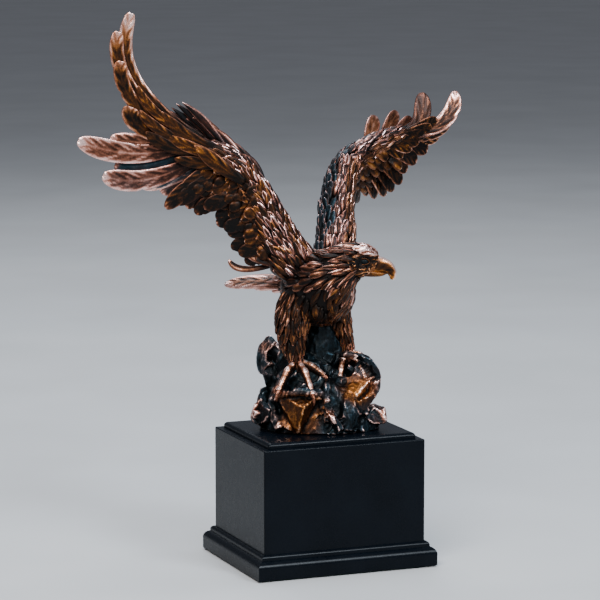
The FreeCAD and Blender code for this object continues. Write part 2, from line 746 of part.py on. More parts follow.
def rock_hollow():
    """Core left out of the rock casting, open below, with the two insert bosses kept solid."""
    wall = size("rock_wall")
    rings = [rock_ring(*ring, shrink=wall) for ring in ROCK_RINGS[:-1]]
    hollow = Part.makeLoft(rings, True, True)
    boss = size("insert_radius") + size("boss_wall")
    for side in (-1, 1):
        foot = Vector(side * size("bolt_spacing") / 2, 0, CAP_TOP - 1)
        hollow = hollow.cut(rod(foot, Vector(0, 0, 1), boss, 60))
    return hollow


# Feet: each has an ankle and four toes, as (angle from the heading, length, drop), with claws that curl down.
FEET = {
    "right": (Vector(-14.5, -12, 133.5), ((-66, 20, 15), (-4, 23, 17), (46, 18, 7), (172, 12, 5))),
    "left": (Vector(18.3, 7, 137.5), ((-44, 17, 13), (6, 21, 14), (54, 17, 7), (186, 12, 5))),
}
TOE_RADIUS = 2.7


def foot_shape(ankle, spread):
    """Shank pad and four toes with claws, gripping downwards."""
    pad_solid = tube([(ankle + Vector(0, 0, 5), 4.2, 4), (ankle, 4.4, 4.2),
                      (ankle - Vector(0, 0, 4), 4.6, 4.4)],
                     Vector(1, 0, 0))
    toes = []
    for angle, length, drop in spread:
        out = Rotation(Vector(0, 0, 1), angle).multVec(HEADING)
        knuckle = ankle + out * (length * 0.5) + Vector(0, 0, 1.5)
        end = ankle + out * length - Vector(0, 0, drop)
        claw = ankle + out * (length + 2.2) - Vector(0, 0, drop + 6)
        toes.append(tube([
            (ankle + out * 0.8 - Vector(0, 0, 1), TOE_RADIUS + 0.4, TOE_RADIUS),
            (knuckle, TOE_RADIUS + 0.2, TOE_RADIUS),
            (end, TOE_RADIUS - 0.5, TOE_RADIUS - 0.8),
            (claw, 0.7, 0.6),
        ], Vector(0, 0, 1) + out * 0.3))
    return pad_solid.multiFuse(toes)


ROD_SUNK = 0.36  # share of each leg rod that sits in the rock
END_PLAY = 0.05  # free length left at each end of a dowel or rod hole


def castings():
    """Cuts each casting to meet its neighbours and drills it for dowels, rods and inserts."""
    radius, fit = size("dowel_radius"), size("dowel_fit")
    body = body_shape()
    outer = rock_outer()
    above = Part.makeBox(300, 300, 300, Vector(-150, -150, CAP_TOP))
    outer = largest(outer.common(above))
    # leg rods rise from the rock through each foot into the thigh
    rods, rod_holes = [], []
    for side, (ankle, _) in FEET.items():
        top = THIGHS[side][1][0]
        along = (top - ankle).normalize()
        start = ankle - along * (size("rod_length") * ROD_SUNK)
        rods.append(rod(start, along, size("rod_radius"), size("rod_length")))
        rod_holes.append(rod(start - along * END_PLAY, along, size("rod_radius") + fit,
                             size("rod_length") + 2 * END_PLAY))
    dowels, dowel_holes = {}, {}
    for side, spec in (("right", RIGHT_WING), ("left", LEFT_WING)):
        axis = Vector(spec["dowel_axis"]).normalize()
        across = axis.cross(spec["face"]).normalize()
        place, apart = spec["dowels"]
        starts = [place + across * (apart * sign) for sign in (-1, 1)]
        dowels[side] = [rod(p, axis, radius, size("wing_dowel_length")) for p in starts]
        hole_length = size("wing_dowel_length") + 2 * END_PLAY
        dowel_holes[side] = [rod(p - axis * END_PLAY, axis, radius + fit, hole_length) for p in starts]
    tail_start = TAIL_ROOT + HEADING * 9
    tail_pin = rod(tail_start, HEADING * -1, radius, size("tail_dowel_length"))
    tail_hole = rod(tail_start + HEADING * END_PLAY, HEADING * -1, radius + fit,
                    size("tail_dowel_length") + 2 * END_PLAY)

    # the wings and the tail are coped to the body, the feet to the rock and the thighs
    wings = {}
    for side, spec in (("right", RIGHT_WING), ("left", LEFT_WING)):
        shape = wing_shape(spec).cut(body).cut(Part.makeCompound(dowel_holes[side]))
        for other in wings.values():
            shape = shape.cut(other)
        wings[side] = largest(shape)
    tail = largest(tail_shape().cut(body).cut(tail_hole))
    holes = [hole for both in dowel_holes.values() for hole in both] + [tail_hole] + rod_holes
    body_drilled = largest(body.cut(Part.makeCompound(holes)))
    feet = {}
    for side, (ankle, spread) in FEET.items():
        feet[side] = largest(foot_shape(ankle, spread).cut(body).cut(outer).cut(Part.makeCompound(rod_holes)))
    inserts = []
    for side in (-1, 1):
        foot = Vector(side * size("bolt_spacing") / 2, 0, CAP_TOP - 0.5)
        inserts.append(rod(foot, Vector(0, 0, 1), size("insert_radius"), size("insert_length") + 0.5))
        inserts.append(rod(foot, Vector(0, 0, 1), size("bolt_hole"), size("insert_length") + 6))
    rock = largest(outer.cut(rock_hollow()).cut(Part.makeCompound(rod_holes + inserts)).cut(body))

    casting("rock_casting", rock)
    for side in ("right", "left"):
        casting(f"{side}_foot_casting", feet[side])
    casting("leg_rods", Part.makeCompound(rods))
    casting("body_casting", body_drilled)
    casting("tail_casting", tail)
    casting("tail_dowel", tail_pin)
    for side in ("right", "left"):
        casting(f"{side}_wing_casting", wings[side])
        casting(f"{side}_wing_dowels", Part.makeCompound(dowels[side]))


# ---------------------------------------------------------------- the whole statuette
HALF_WIDTH, HALF_DEPTH = "sizes.box_width / 2", "sizes.box_depth / 2"

felt_pad()
board = bottom_board()
long_wall("front_wall", -1)
long_wall("back_wall", 1)
short_wall("left_wall", -1)
short_wall("right_wall", 1)
corner_blocks()
cap_board()
plinth("plinth_front", HALF_WIDTH, HALF_DEPTH, 0)
plinth("plinth_right", HALF_DEPTH, HALF_WIDTH, 90)
plinth("plinth_back", HALF_WIDTH, HALF_DEPTH, 180)
plinth("plinth_left", HALF_DEPTH, HALF_WIDTH, 270)
doc.recompute()
screws = wood_screws()
doc.recompute()
countersink(board, screws)
group("bottom_board_screws", screws)
mounting_bolts()
doc.recompute()
castings()
doc.recompute()

# ---------------------------------------------------------------- checks and export
for item in doc.Objects:
    bad = [state for state in item.State if state in ("Invalid", "Error")]
    assert not bad, f"{item.Name} is {bad}"
os.makedirs("parts", exist_ok=True)
for piece in PARTS:
    shape = piece.Shape
    assert not shape.isNull() and shape.isValid(), f"{piece.Label} has a bad shape"
    assert shape.Solids, f"{piece.Label} has no solid"
    shape.exportStep(f"parts/{piece.Label}.step")
    box = shape.BoundBox
    print(f"{piece.Label}: {len(shape.Solids)} solid(s), {shape.Volume:.0f} mm3, "
          f"z {box.ZMin:.1f} to {box.ZMax:.1f}")
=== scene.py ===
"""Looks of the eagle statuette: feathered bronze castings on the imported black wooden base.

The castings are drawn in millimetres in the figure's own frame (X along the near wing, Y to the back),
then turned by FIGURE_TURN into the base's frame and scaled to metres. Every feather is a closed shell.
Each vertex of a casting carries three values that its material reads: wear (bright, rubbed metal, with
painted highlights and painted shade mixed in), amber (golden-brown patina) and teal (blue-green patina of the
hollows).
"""

import json
import math

import bmesh
import bpy
import numpy as np
from mathutils import Matrix, Vector, noise


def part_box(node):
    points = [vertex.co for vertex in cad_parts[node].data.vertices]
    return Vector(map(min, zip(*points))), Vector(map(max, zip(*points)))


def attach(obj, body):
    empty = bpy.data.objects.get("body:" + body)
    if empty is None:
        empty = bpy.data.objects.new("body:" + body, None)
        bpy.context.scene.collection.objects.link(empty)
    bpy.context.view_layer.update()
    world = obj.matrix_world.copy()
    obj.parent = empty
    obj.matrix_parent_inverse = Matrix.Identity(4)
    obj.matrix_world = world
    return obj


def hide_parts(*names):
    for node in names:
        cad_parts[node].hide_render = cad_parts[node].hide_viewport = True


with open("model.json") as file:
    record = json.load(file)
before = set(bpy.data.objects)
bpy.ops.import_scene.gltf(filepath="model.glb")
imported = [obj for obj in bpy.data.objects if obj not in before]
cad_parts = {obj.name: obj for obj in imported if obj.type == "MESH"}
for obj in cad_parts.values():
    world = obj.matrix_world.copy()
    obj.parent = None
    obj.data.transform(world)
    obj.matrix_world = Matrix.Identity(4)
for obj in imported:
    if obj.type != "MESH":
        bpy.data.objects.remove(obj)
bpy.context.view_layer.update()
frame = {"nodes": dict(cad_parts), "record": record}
rng = np.random.default_rng(20)

FIGURE_TURN = math.radians(-21.7)
MILLIMETRE = 0.001
CAP_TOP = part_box("cap_board")[1][2] / MILLIMETRE  # height of the table that the rock stands on


# ------ vectors
def vec(*xyz):
    return np.array(xyz, float)


def unit(v):
    return v / np.maximum(np.linalg.norm(v, axis=-1, keepdims=True), 1e-9)


def mix(a, b, share):
    return a + (b - a) * share


def step(low, high, x):
    """Smooth step from 0 at low to 1 at high."""
    s = np.clip((x - low) / (high - low), 0, 1)
    return s * s * (3 - 2 * s)


def turned(v, angle):
    """The vector turned about Z."""
    cos, sin = math.cos(angle), math.sin(angle)
    return vec(v[0] * cos - v[1] * sin, v[0] * sin + v[1] * cos, v[2])


def circle(count):
    """Angles evenly spread round a circle, as a row."""
    return np.linspace(0, 2 * math.pi, count, endpoint=False)[None, :]


UP = vec(0, 0, 1)
HEADING = vec(0.494, -0.869, 0)  # the way the body faces


# ------ meshes
def show(name, data):
    """A new object in the scene."""
    thing = bpy.data.objects.new(name, data)
    bpy.context.scene.collection.objects.link(thing)
    return thing


class Casting:
    """Gathers closed shells and makes one object of them."""

    def __init__(self, name, node):
        self.name, self.node = name, node
        self.points, self.faces, self.looks = [], [], []
        self.count = 0

    def add(self, points, faces, wear, amber, teal):
        """Adds a shell: its points, its faces as arrays of indices, and its three values at each point."""
        ones = np.ones(len(points))
        self.looks.append(np.stack([wear * ones, amber * ones, teal * ones], 1))
        self.points.append(points)
        self.faces += [face_set + self.count for face_set in faces]
        self.count += len(points)

    def build(self, material):
        cos, sin = math.cos(FIGURE_TURN), math.sin(FIGURE_TURN)
        turn = np.array([[cos, -sin, 0], [sin, cos, 0], [0, 0, 1]])
        points = np.concatenate(self.points) @ turn.T * MILLIMETRE
        mesh = bpy.data.meshes.new(self.name)
        mesh.from_pydata(points.tolist(), [], [face for part in self.faces for face in part.tolist()])
        looks = np.clip(np.concatenate(self.looks), 0, 1)
        for channel, label in enumerate(("wear", "amber", "teal")):
            mesh.attributes.new(label, "FLOAT", "POINT").data.foreach_set("value", looks[:, channel].copy())
        face_outwards(mesh)
        mesh.polygons.foreach_set("use_smooth", [True] * len(mesh.polygons))
        mesh.materials.append(material)
        piece = show(self.name, mesh)
        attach(piece, "root")
        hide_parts(self.node)


def face_outwards(mesh):
    work = bmesh.new()
    work.from_mesh(mesh)
    bmesh.ops.recalc_face_normals(work, faces=work.faces)
    work.to_mesh(mesh)
    work.free()


def skin(rings):
    """Closed shell over rings of points, shaped (rings, points in a ring, 3), with a fan on each end."""
    count, size, _ = rings.shape
    i = np.arange(count - 1)[:, None] * size
    j = np.arange(size)[None, :]
    after = (j + 1) % size
    quads = np.stack([i + j, i + after, i + size + after, i + size + j], -1).reshape(-1, 4)
    points = np.concatenate([rings.reshape(-1, 3), rings[0].mean(0)[None], rings[-1].mean(0)[None]])
    ring, turn, top = np.arange(size), (np.arange(size) + 1) % size, (count - 1) * size
    start = np.stack([turn, ring, np.full(size, count * size)], -1)
    end = np.stack([top + ring, top + turn, np.full(size, count * size + 1)], -1)
    return points, [quads, start, end]


def with_ends(values):
    """Values on rings, with the two values that the end fans' centres need."""
    return np.concatenate([values.ravel(), [values[0].mean(), values[-1].mean()]])


# ------ feathers
BARB_SPACING = 3.4  # millimetres from one barb to the next
BARBED = (32, 1.45)  # points round a feather with barbs, and millimetres between its rings
PLAIN = (12, 1.8)  # the same for one without
RINGS = (6, 90)  # fewest and most rings of a feather


def feather(casting, root, bend, tip, face, width, thick=2.2, barbs=False, slant=1.6, peak=0.66, base=0.5,
            blunt=2.0, cup=0.08, nicks=0, rub=0.2, edging=0.82, ground=0.08, wear=1.0, amber=0.4, teal=0.1):
    """One feather, cast solid: a quill curve root-bend-tip, a shaft, a raised rim, and streaks or barbs.

    face is the side it shows, width its greatest width, which it has at peak along its length; base is its
    share of that width at the root, blunt how round its tip is, cup how much its sides rise, and nicks how
    many of its barbs have split apart. barbs gives it slanting barbs instead of a few plain streaks; slant
    is how far each barb runs along the feather for one step outwards. rub is the share of each half that is
    rubbed bright beside the rim, edging how bright that is, and ground how bright the vane is between.
    wear scales all of that; towards the root the vane is painted darker, as shade under the feathers over it,
    and amber and teal are its patina.
    """
    root, bend, tip = np.array((root, bend, tip), float)
    around, spacing = BARBED if barbs else PLAIN
    length = (np.linalg.norm(bend - root) + np.linalg.norm(tip - bend) + np.linalg.norm(tip - root)) / 2
    rows = int(np.clip(length / spacing, *RINGS))
    s = (0.995 * (1 - (1 - np.linspace(0, 1, rows)) ** 1.3))[:, None]
    centre = root * (1 - s) ** 2 + bend * (2 * s * (1 - s)) + tip * s ** 2
    along = unit((bend - root) * (1 - s) + (tip - bend) * s)
    side = unit(np.cross(along, face))
    normal = np.cross(side, along)
    phi = circle(around)
    across = np.sin(phi)
    aside = np.abs(across)
    over = np.sign(np.cos(phi)) * np.abs(np.cos(phi)) ** 0.6
    growing = base + (1 - base) * np.sin(math.pi / 2 * np.minimum(1, s / peak))
    closing = (1 - np.clip((s - peak) / (1 - peak), 0, 1) ** blunt) ** (1 / blunt)
    half = width / 2 * growing * closing
    for _ in range(nicks):
        place, hand = rng.uniform(0.35, 0.92), rng.choice([-1, 1])
        notch = np.exp(-((s - place - 0.05 * aside) / 0.02) ** 2) * (across * hand > 0.6)
        half = half * (1 - rng.uniform(0.12, 0.3) * notch)
    out = aside * half
    wander = 0.9 * np.sin(s * rng.uniform(5, 9) + rng.uniform(0, 6)) + rng.uniform(0, 6)
    if barbs:
        pitch = BARB_SPACING * math.hypot(1, slant)
        streak = 0.5 + 0.5 * np.cos(2 * math.pi * (s * length - slant * out) / pitch + wander)
        streak = streak * (0.8 + 0.2 * np.sin(s * length / 4.1 + 3 * across + wander))
    else:
        streak = 0.5 + 0.5 * np.cos(across * rng.uniform(7, 10) + 0.7 * wander)
    vane = step(0.08, 0.3, aside) * (1 - step(0.7, 0.9, aside))
    shaft = np.exp(-(across / 0.13) ** 2) * (1 - 0.6 * s)
    rim = step(0.92 - rub, 1.02 - 0.35 * rub, aside)
    rim = np.maximum(rim, step(1 - 0.5 * rub, 0.99, s))
    body = thick / 2 * (1 - 0.35 * s) * np.sqrt(1 - 0.9 * s ** 8)
    edge = step(0.72, 0.95, aside)
    relief = thick * (0.20 * streak * vane + 0.16 * edge * (1 - s ** 8) + 0.18 * shaft)
    height = over * (body + relief * np.abs(over)) + cup * half * across ** 2
    rings = centre[:, None] + side[:, None] * (across * half)[..., None] + normal[:, None] * height[..., None]
    bright = ground + (edging - ground) * rim * (0.75 + 0.25 * streak)
    bright = bright + (0.68 - 0.8 * ground) * streak ** 2 * vane + 0.4 * shaft
    # painted shade: the vane falls to 0.3 of its brightness at the root, where the feathers above would shade
    # it
    bright = bright * mix(0.3, 1.0, step(0.05, 0.5, s)) * wear * rng.uniform(0.6, 1.25)
    gold = (amber + rng.uniform(-0.15, 0.15)) * (1 - 0.75 * rim)
    green = (teal + rng.uniform(-0.12, 0.12)) * (1 - 0.6 * rim)
    points, faces = skin(rings)
    casting.add(points, faces, with_ends(bright), with_ends(gold), with_ends(green))


def feathers(casting, places, face, **look):
    """Feathers placed one by one, each (root, bend, tip, width)."""
    for root, bend, tip, width in places:
        feather(casting, root, bend, tip, face, width, **look)


def fan(casting, roots, tips, lifts, widths, face, jitter=0.0, **look):
    """A row of feathers, from a line of roots to a list of tips. lifts bow the first and the last."""
    roots, lifts = np.array((roots, lifts), float)
    for i, tip in enumerate(tips):
        share = i / (len(tips) - 1)
        root = mix(roots[0], roots[1], share)
        tip = tip + rng.normal(0, jitter, 3) if jitter else tip
        bend = (root + tip) / 2 + mix(lifts[0], lifts[1], share)
        feather(casting, root, bend, tip, face, mix(widths[0], widths[1], share), **look)


def sweep(points, count):
    """Evenly spread points on a quadratic curve."""
    a, b, c = np.array(points, float)
    shares = [i / (count - 1) for i in range(count)]
    return [a * (1 - s) ** 2 + b * 2 * s * (1 - s) + c * s * s for s in shares]


def scales(casting, roots, tips, rows, out, length, width, **look):
    """Rows of short rounded feathers between two curves of points, from the lowest row up to the roots."""
    last = len(roots) - 1
    for row in range(rows):
        share = mix(0.72, 0.1, row / (rows - 1))
        for i in range(len(roots)):
            place = min(i + 0.5 * (row % 2), last)
            low, part = int(place), place - int(place)
            high = min(low + 1, last)
            root = mix(roots[low], roots[high], part)
            tip = mix(tips[low], tips[high], part)
            way = unit(tip - root)
            end = mix(root, tip, share) + rng.normal(0, 0.7, 3) + out * (2.6 + 0.5 * row)
            size = length * rng.uniform(0.85, 1.2)
            start = end - way * size - out * 2.2
            feather(casting, start, (start + end) / 2 + out * 1.9, end, out + way * 0.25,
                    width * rng.uniform(0.85, 1.15), **look)


# ------ limbs
class Limb:
    """A smooth tube through oval stations, each (centre, half_tall, half_wide). t runs over the stations."""

    def __init__(self, stations, tall=UP):
        self.values = np.array([[*centre, high, wide] for centre, high, wide in stations], float)
        self.tall = tall
        self.last = len(stations) - 1
        self.grid = self.at(np.linspace(0, self.last, 20 * self.last + 1))

    def at(self, t):
        """Centre, direction, the two half axes' directions, and the two half sizes."""
        t = np.atleast_1d(np.asarray(t, float))
        i = np.clip(np.floor(t).astype(int), 0, self.last - 1)
        x = (t - i)[:, None]
        padded = np.concatenate([[2 * self.values[0] - self.values[1]], self.values,
                                 [2 * self.values[-1] - self.values[-2]]])
        a, b, c, d = (padded[i + k] for k in range(4))
        value = b + 0.5 * x * (c - a + x * (2 * a - 5 * b + 4 * c - d + x * (3 * (b - c) + d - a)))
        slope = 0.5 * (c - a) + x * (2 * a - 5 * b + 4 * c - d) + 1.5 * x * x * (3 * (b - c) + d - a)
        along = unit(slope[:, :3])
        up = unit(self.tall - along * (along @ self.tall)[:, None])
        return value[:, :3], along, up, np.cross(along, up), np.maximum(value[:, 3:], 0.2)

    def pace(self, t):
        """Millimetres along the tube for one step of t."""
        return max(np.linalg.norm(self.at(t + 0.02)[0][0] - self.at(t - 0.02)[0][0]) / 0.04, 1.0)

    def spot(self, t, angle, lift):
        """Point lift above the tube at an angle from its tall axis, and the outward normal there."""
        centre, _, up, side, half = (value[0] for value in self.at(t))
        point = centre + up * math.cos(angle) * (half[0] + lift) + side * math.sin(angle) * (half[1] + lift)
        return point, unit(up * math.cos(angle) / half[0] + side * math.sin(angle) / half[1])

    def onto(self, point, lift):
        """The point moved straight in or out until it is lift above the tube's surface."""
        centre, along, up, side, half = self.grid
        spokes = point - centre
        near = np.argmin(np.abs(np.sum(spokes * along, 1)) + 0.3 * np.linalg.norm(spokes, axis=1))
        spoke = spokes[near]
        size = np.hypot(spoke @ up[near] / half[near, 0], spoke @ side[near] / half[near, 1])
        return centre[near] + spoke / max(size, 0.1) + unit(spoke) * lift

    def rings(self, count, around, start=0, stop=None, swell=None):
        """Rings of points, along the whole tube or from start to stop; swell(t, angle) scales the radius."""
        t = np.linspace(start, self.last if stop is None else stop, count)
        centre, _, up, side, half = self.at(t)
        angle = circle(around)
        scale = swell(t[:, None], angle) if swell else np.ones((count, around))
        tall = (np.cos(angle) * half[:, :1] * scale)[..., None] * up[:, None]
        wide = (np.sin(angle) * half[:, 1:] * scale)[..., None] * side[:, None]
        return centre[:, None] + tall + wide


def coat(casting, limb, start, stop, length, width, flow, rise=2.0, keep=None, spread=0.85, **look):
    """Overlapping feathers on a limb. flow(point, normal) is the way they lie; keep(point, normal) picks."""
    sign = 1 if stop > start else -1
    t, row = start, 0
    while (stop - t) * sign >= 0:
        half = limb.at(t)[4][0]
        count = max(4, round(math.pi * (half[0] + half[1]) / (width * spread)))
        for k in range(count):
            angle = 2 * math.pi * (k + 0.5 * (row % 2) + rng.uniform(-0.25, 0.25)) / count
            root, normal = limb.spot(t + rng.uniform(-0.2, 0.2) * length / limb.pace(t), angle, -0.6)
            if keep and not keep(root, normal):
                continue
            way = flow(root, normal) + rng.normal(0, 0.12, 3)
            way = unit(way - normal * (way @ normal))
            size = length * rng.uniform(0.75, 1.25)
            tip = limb.onto(root + way * size, rise * rng.uniform(0.5, 1.3))
            middle = limb.onto(root + way * size * 0.5, 0.0)
            bend = 2 * middle - (root + tip) / 2 + normal * (1.1 * rise)
            feather(casting, root, bend, tip, normal, width * rng.uniform(0.8, 1.25), **look)
        t += sign * length * 0.5 / limb.pace(t)
        row += 1


def tube(casting, limb, count, around, wear, amber, teal):
    """The bare surface of a limb, with count rings of so many points around."""
    points, faces = skin(limb.rings(count, around))
    casting.add(points, faces, wear, amber, teal)


# ------ fused cores
def fused(shells, voxel, smoothing):
    """One smooth skin around several closed shells, as points and face arrays in millimetres."""
    mesh = bpy.data.meshes.new("core")
    points, faces, count = [], [], 0
    for shell_points, shell_faces in shells:
        points.append(shell_points)
        faces += [face for part in shell_faces for face in (part + count).tolist()]
        count += len(shell_points)
    mesh.from_pydata(np.concatenate(points).tolist(), [], faces)
    face_outwards(mesh)
    work = show("core", mesh)
    remesh = work.modifiers.new("remesh", "REMESH")
    remesh.mode = "VOXEL"
    remesh.voxel_size = voxel
    smooth = work.modifiers.new("smooth", "SMOOTH")
    smooth.iterations = smoothing
    done = work.evaluated_get(bpy.context.evaluated_depsgraph_get())
    result = done.to_mesh()
    coords = np.empty(len(result.vertices) * 3)
    result.vertices.foreach_get("co", coords)
    by_size = {}
    for polygon in result.polygons:
        by_size.setdefault(len(polygon.vertices), []).append(list(polygon.vertices))
    done.to_mesh_clear()
    bpy.data.objects.remove(work)
    bpy.data.meshes.remove(mesh)
    return coords.reshape(-1, 3), [np.array(group) for group in by_size.values()]


def normals_of(points, faces):
    """Outward normal at every point."""
    total = np.zeros_like(points)
    for group in faces:
        across = np.cross(points[group[:, 2]] - points[group[:, 0]],
                          points[group[:, -1]] - points[group[:, 1]])
        for corner in range(group.shape[1]):
            np.add.at(total, group[:, corner], across)
    return unit(total)


def bulge(points, faces, rounds):
    """How far each point stands out from its smoothed surroundings, in millimetres."""
    sides = [group[:, [i, (i + 1) % group.shape[1]]] for group in faces for i in range(group.shape[1])]
    pairs = np.concatenate(sides + [pair[:, ::-1] for pair in sides])
    degree = np.bincount(pairs[:, 0], minlength=len(points))
    soft = points
    for _ in range(rounds):
        soft = np.stack([np.bincount(pairs[:, 0], weights=soft[pairs[:, 1], axis], minlength=len(points))
                         for axis in range(3)], 1) / degree[:, None]
    return np.sum((points - soft) * normals_of(points, faces), 1)


def ridged(points, scale, octaves):
    """Noise with sharp creases, from 0 to about 1, at each point. scale is per axis."""
    values = []
    for place in points * scale:
        total, weight, spot = 0.0, 0.5, Vector(place)
        for _ in range(octaves):
            total += weight * (1 - abs(noise.noise(spot)))
            spot, weight = spot * 2.1, weight * 0.5
        values.append(total)
    return np.array(values)


# ------ wings
PRIMARY = dict(thick=2.6, barbs=True, nicks=1, peak=0.72, base=0.42, blunt=2.2)
FLIGHT = dict(thick=2.6, barbs=True, nicks=1, peak=0.74, base=0.5)
TRAILING = ((-97, -17, 242), (-62, -16, 240), (-52, -12, 203))  # near wing's secondary tips
WRIST_HEIGHT = 262  # where both arms bend outwards
SECONDARY_ROOTS = ((-64, -14, 272), (-43, -12, 248), (-22, -10, 210))


def right_wing():
    """Near wing: raised, its underside to the front, four outer primaries swept up and six spread out."""
    casting = Casting("right_wing", "right_wing_casting")
    face = vec(0.10, -1.0, 0.0)
    arm = Limb([
        ((-10, -6, 195), 14, 9),
        ((-21.5, -9, 208), 12.5, 7.5),
        ((-31, -11, 228), 10.0, 6.2),
        ((-42.5, -12, 250), 8.2, 5),
        ((-58, -14, 270), 6.2, 4),
        ((-77, -15, 278), 4.6, 2.8),
        ((-92, -16, 285), 2.6, 1.8),
    ])
    tube(casting, arm, 60, 20, wear=0.1, amber=0.4, teal=0.3)
    # four primaries swept up in one flame, the longest last
    swept = (
        ((-84, -15, 277), (-128, -20, 292), (-122.5, -22, 306), 12),
        ((-86, -16, 280), (-134, -21, 308), (-129, -21, 336), 9.5),
        ((-82, -16, 283), (-140, -20, 318), (-130.5, -20, 355), 9.5),
        ((-76, -15, 285), (-141, -19, 322), (-121.8, -19, 367), 9),
    )
    for (root, bend, tip, width), rub in zip(swept, (0.4, 0.35, 0.45, 0.6)):
        feather(casting, root, bend, tip, face, width, slant=3.0, rub=rub, edging=1.1, ground=0.22, wear=1.0,
                amber=0.95, teal=-0.2, **dict(PRIMARY, peak=0.82, blunt=2.8))
    # six primaries spread outwards
    spread = (
        ((-66, -12, 268), (-92, -15, 258), (-104, -16, 249), 12),
        ((-70, -13, 270), (-100, -16, 256), (-118, -17, 255), 12),
        ((-76, -14, 274), (-114, -18, 249), (-142, -20, 261), 14),
        ((-80, -13, 277), (-118, -17, 262), (-134, -17, 268), 13),
        ((-84, -14, 281), (-122, -20, 268), (-158, -22, 284), 14.5),
        ((-88, -14, 284), (-114, -19, 280), (-137, -20, 285), 11),
    )
    for (root, bend, tip, width), patina in zip(spread, (0.3, 0.7, 0.35, 0.8, 0.0, 0.1)):
        feather(casting, root, bend, tip, face, width, slant=2.6, rub=0.3, edging=0.84, ground=0.36, wear=0.9,
                amber=0.15, teal=patina, **PRIMARY)
    # secondaries down to the body
    fan(casting, (SECONDARY_ROOTS[0], SECONDARY_ROOTS[2]), sweep(TRAILING, 12), ((0, -2, 2), (0, -2, 1)),
        (11.0, 10), face, jitter=2.0, wear=0.62, amber=0.6, teal=0.3, **FLIGHT)
    # innermost feathers, hooked up at their tips
    feathers(casting, (
        ((-24, -8, 202), (-56, -12, 192), (-59.5, -13, 204.5), 4.8),
        ((-20, -8, 205), (-44, -13, 200), (-48, -14, 211), 5.5),
        ((-16, -9, 203), (-34, -14, 200), (-42, -14, 206), 6),
    ), face + UP * 0.6, thick=2.8, wear=1.05, amber=0.3, teal=0.15)
    under_coverts(casting, arm, face)
    upper_coverts(casting, arm, face)
    # dark tuft along the wrist
    for reach in np.linspace(0.0, 0.85, 9):
        tip = mix(vec(-90.5, -12, 308.5), vec(-46, -9, 268), reach)
        root = tip + vec(33, 2, -37) * mix(1.0, 0.4, reach)
        for drop in (0, 5, 10, 15):
            slip = vec(-1.0, 0.3, -0.62) * drop + vec(0, drop * 0.12, 0) + rng.normal(0, 0.7, 3)
            bend = (root + tip) / 2 + slip * 0.6 + vec(3, 2, 4)
            feather(casting, root + slip * 0.5, bend, tip + slip * 0.6, face, 5.6, thick=2.8,
                    wear=1.0 if drop == 0 else 0.62, amber=0.1, teal=0.4, blunt=1.3)
    return casting


def under_coverts(casting, arm, face):
    """The near wing's underside: long amber strips along the hand and amber scales over the secondaries."""
    out = unit(face)
    lining = dict(amber=1.0, teal=0.0, slant=3.0, edging=0.6, ground=0.22)
    # long strips that run from the wrist up into the swept primaries
    feathers(casting, (
        ((-72, -17, 272), (-106, -22, 280), (-113, -23, 290), 8),
        ((-70, -17, 275), (-108, -22, 288), (-117, -23, 304), 7),
        ((-66, -17, 279), (-112, -22, 297), (-118, -22, 320), 6.5),
        ((-58, -17, 275), (-90, -21, 284), (-103, -21, 303), 8),
        ((-54, -17, 270), (-84, -21, 277), (-99, -21, 287), 8),
        ((-52, -17, 266), (-78, -21, 268), (-95, -21, 272), 8),
    ), face, barbs=True, blunt=1.6, wear=0.85, **lining)
    # pointed feather with a bright front rim, across the wrist
    feather(casting, (-49, -19, 256), (-66, -24, 268), (-82, -23, 281), face, 10, thick=3, barbs=True,
            blunt=1.3, wear=1.2, **lining)
    scales(casting, sweep(SECONDARY_ROOTS, 13), sweep(TRAILING, 13), 5, out, 10, 7.6,
           wear=0.78, amber=0.95, teal=0.05)

    def outwards(root, normal):
        return vec(-0.55, 0, 0.83) if root[2] < WRIST_HEIGHT else vec(-0.9, 0, 0.4)

    # narrow strips beside the leading edge, pointing outwards along the arm
    coat(casting, arm, 0.4, 4.9, 13, 3.4, outwards, rise=2.2, keep=lambda _, normal: normal @ out > 0.55,
         blunt=1.4, wear=0.85, amber=0.8, teal=0.0)
    # bright streaks on the leading edge
    front = vec(0.8, -0.4, 0.45)
    coat(casting, arm, 0.2, 5.3, 12, 3.2, outwards, keep=lambda _, normal: normal @ front > 0.2,
         blunt=1.4, rub=0.35, edging=0.95, wear=1.2, amber=0.05, teal=-0.1)


def upper_coverts(casting, arm, face):
    """The near wing's back: coverts over the primaries and secondaries, and small feathers on the arm."""
    back = unit(-face)
    fan(casting, ((-84, -12, 287), (-66, -11, 274)),
        sweep(((-119, -16, 309), (-122, -16, 286), (-102, -13, 260)), 9),
        ((-14, 2, -3), (0, 2, 2)), (10, 10), back, barbs=True, wear=0.9, amber=0.2, teal=0.3)
    scales(casting, sweep(SECONDARY_ROOTS, 13), sweep(TRAILING, 13), 4, back, 13, 8.5,
           wear=0.9, amber=0.2, teal=0.35)
    coat(casting, arm, 0.5, 5.0, 10, 5.0, lambda *_: vec(-0.6, 0, 0.8), rise=1.8,
         keep=lambda _, normal: normal @ back > -0.3, wear=0.85, amber=0.2, teal=0.35)


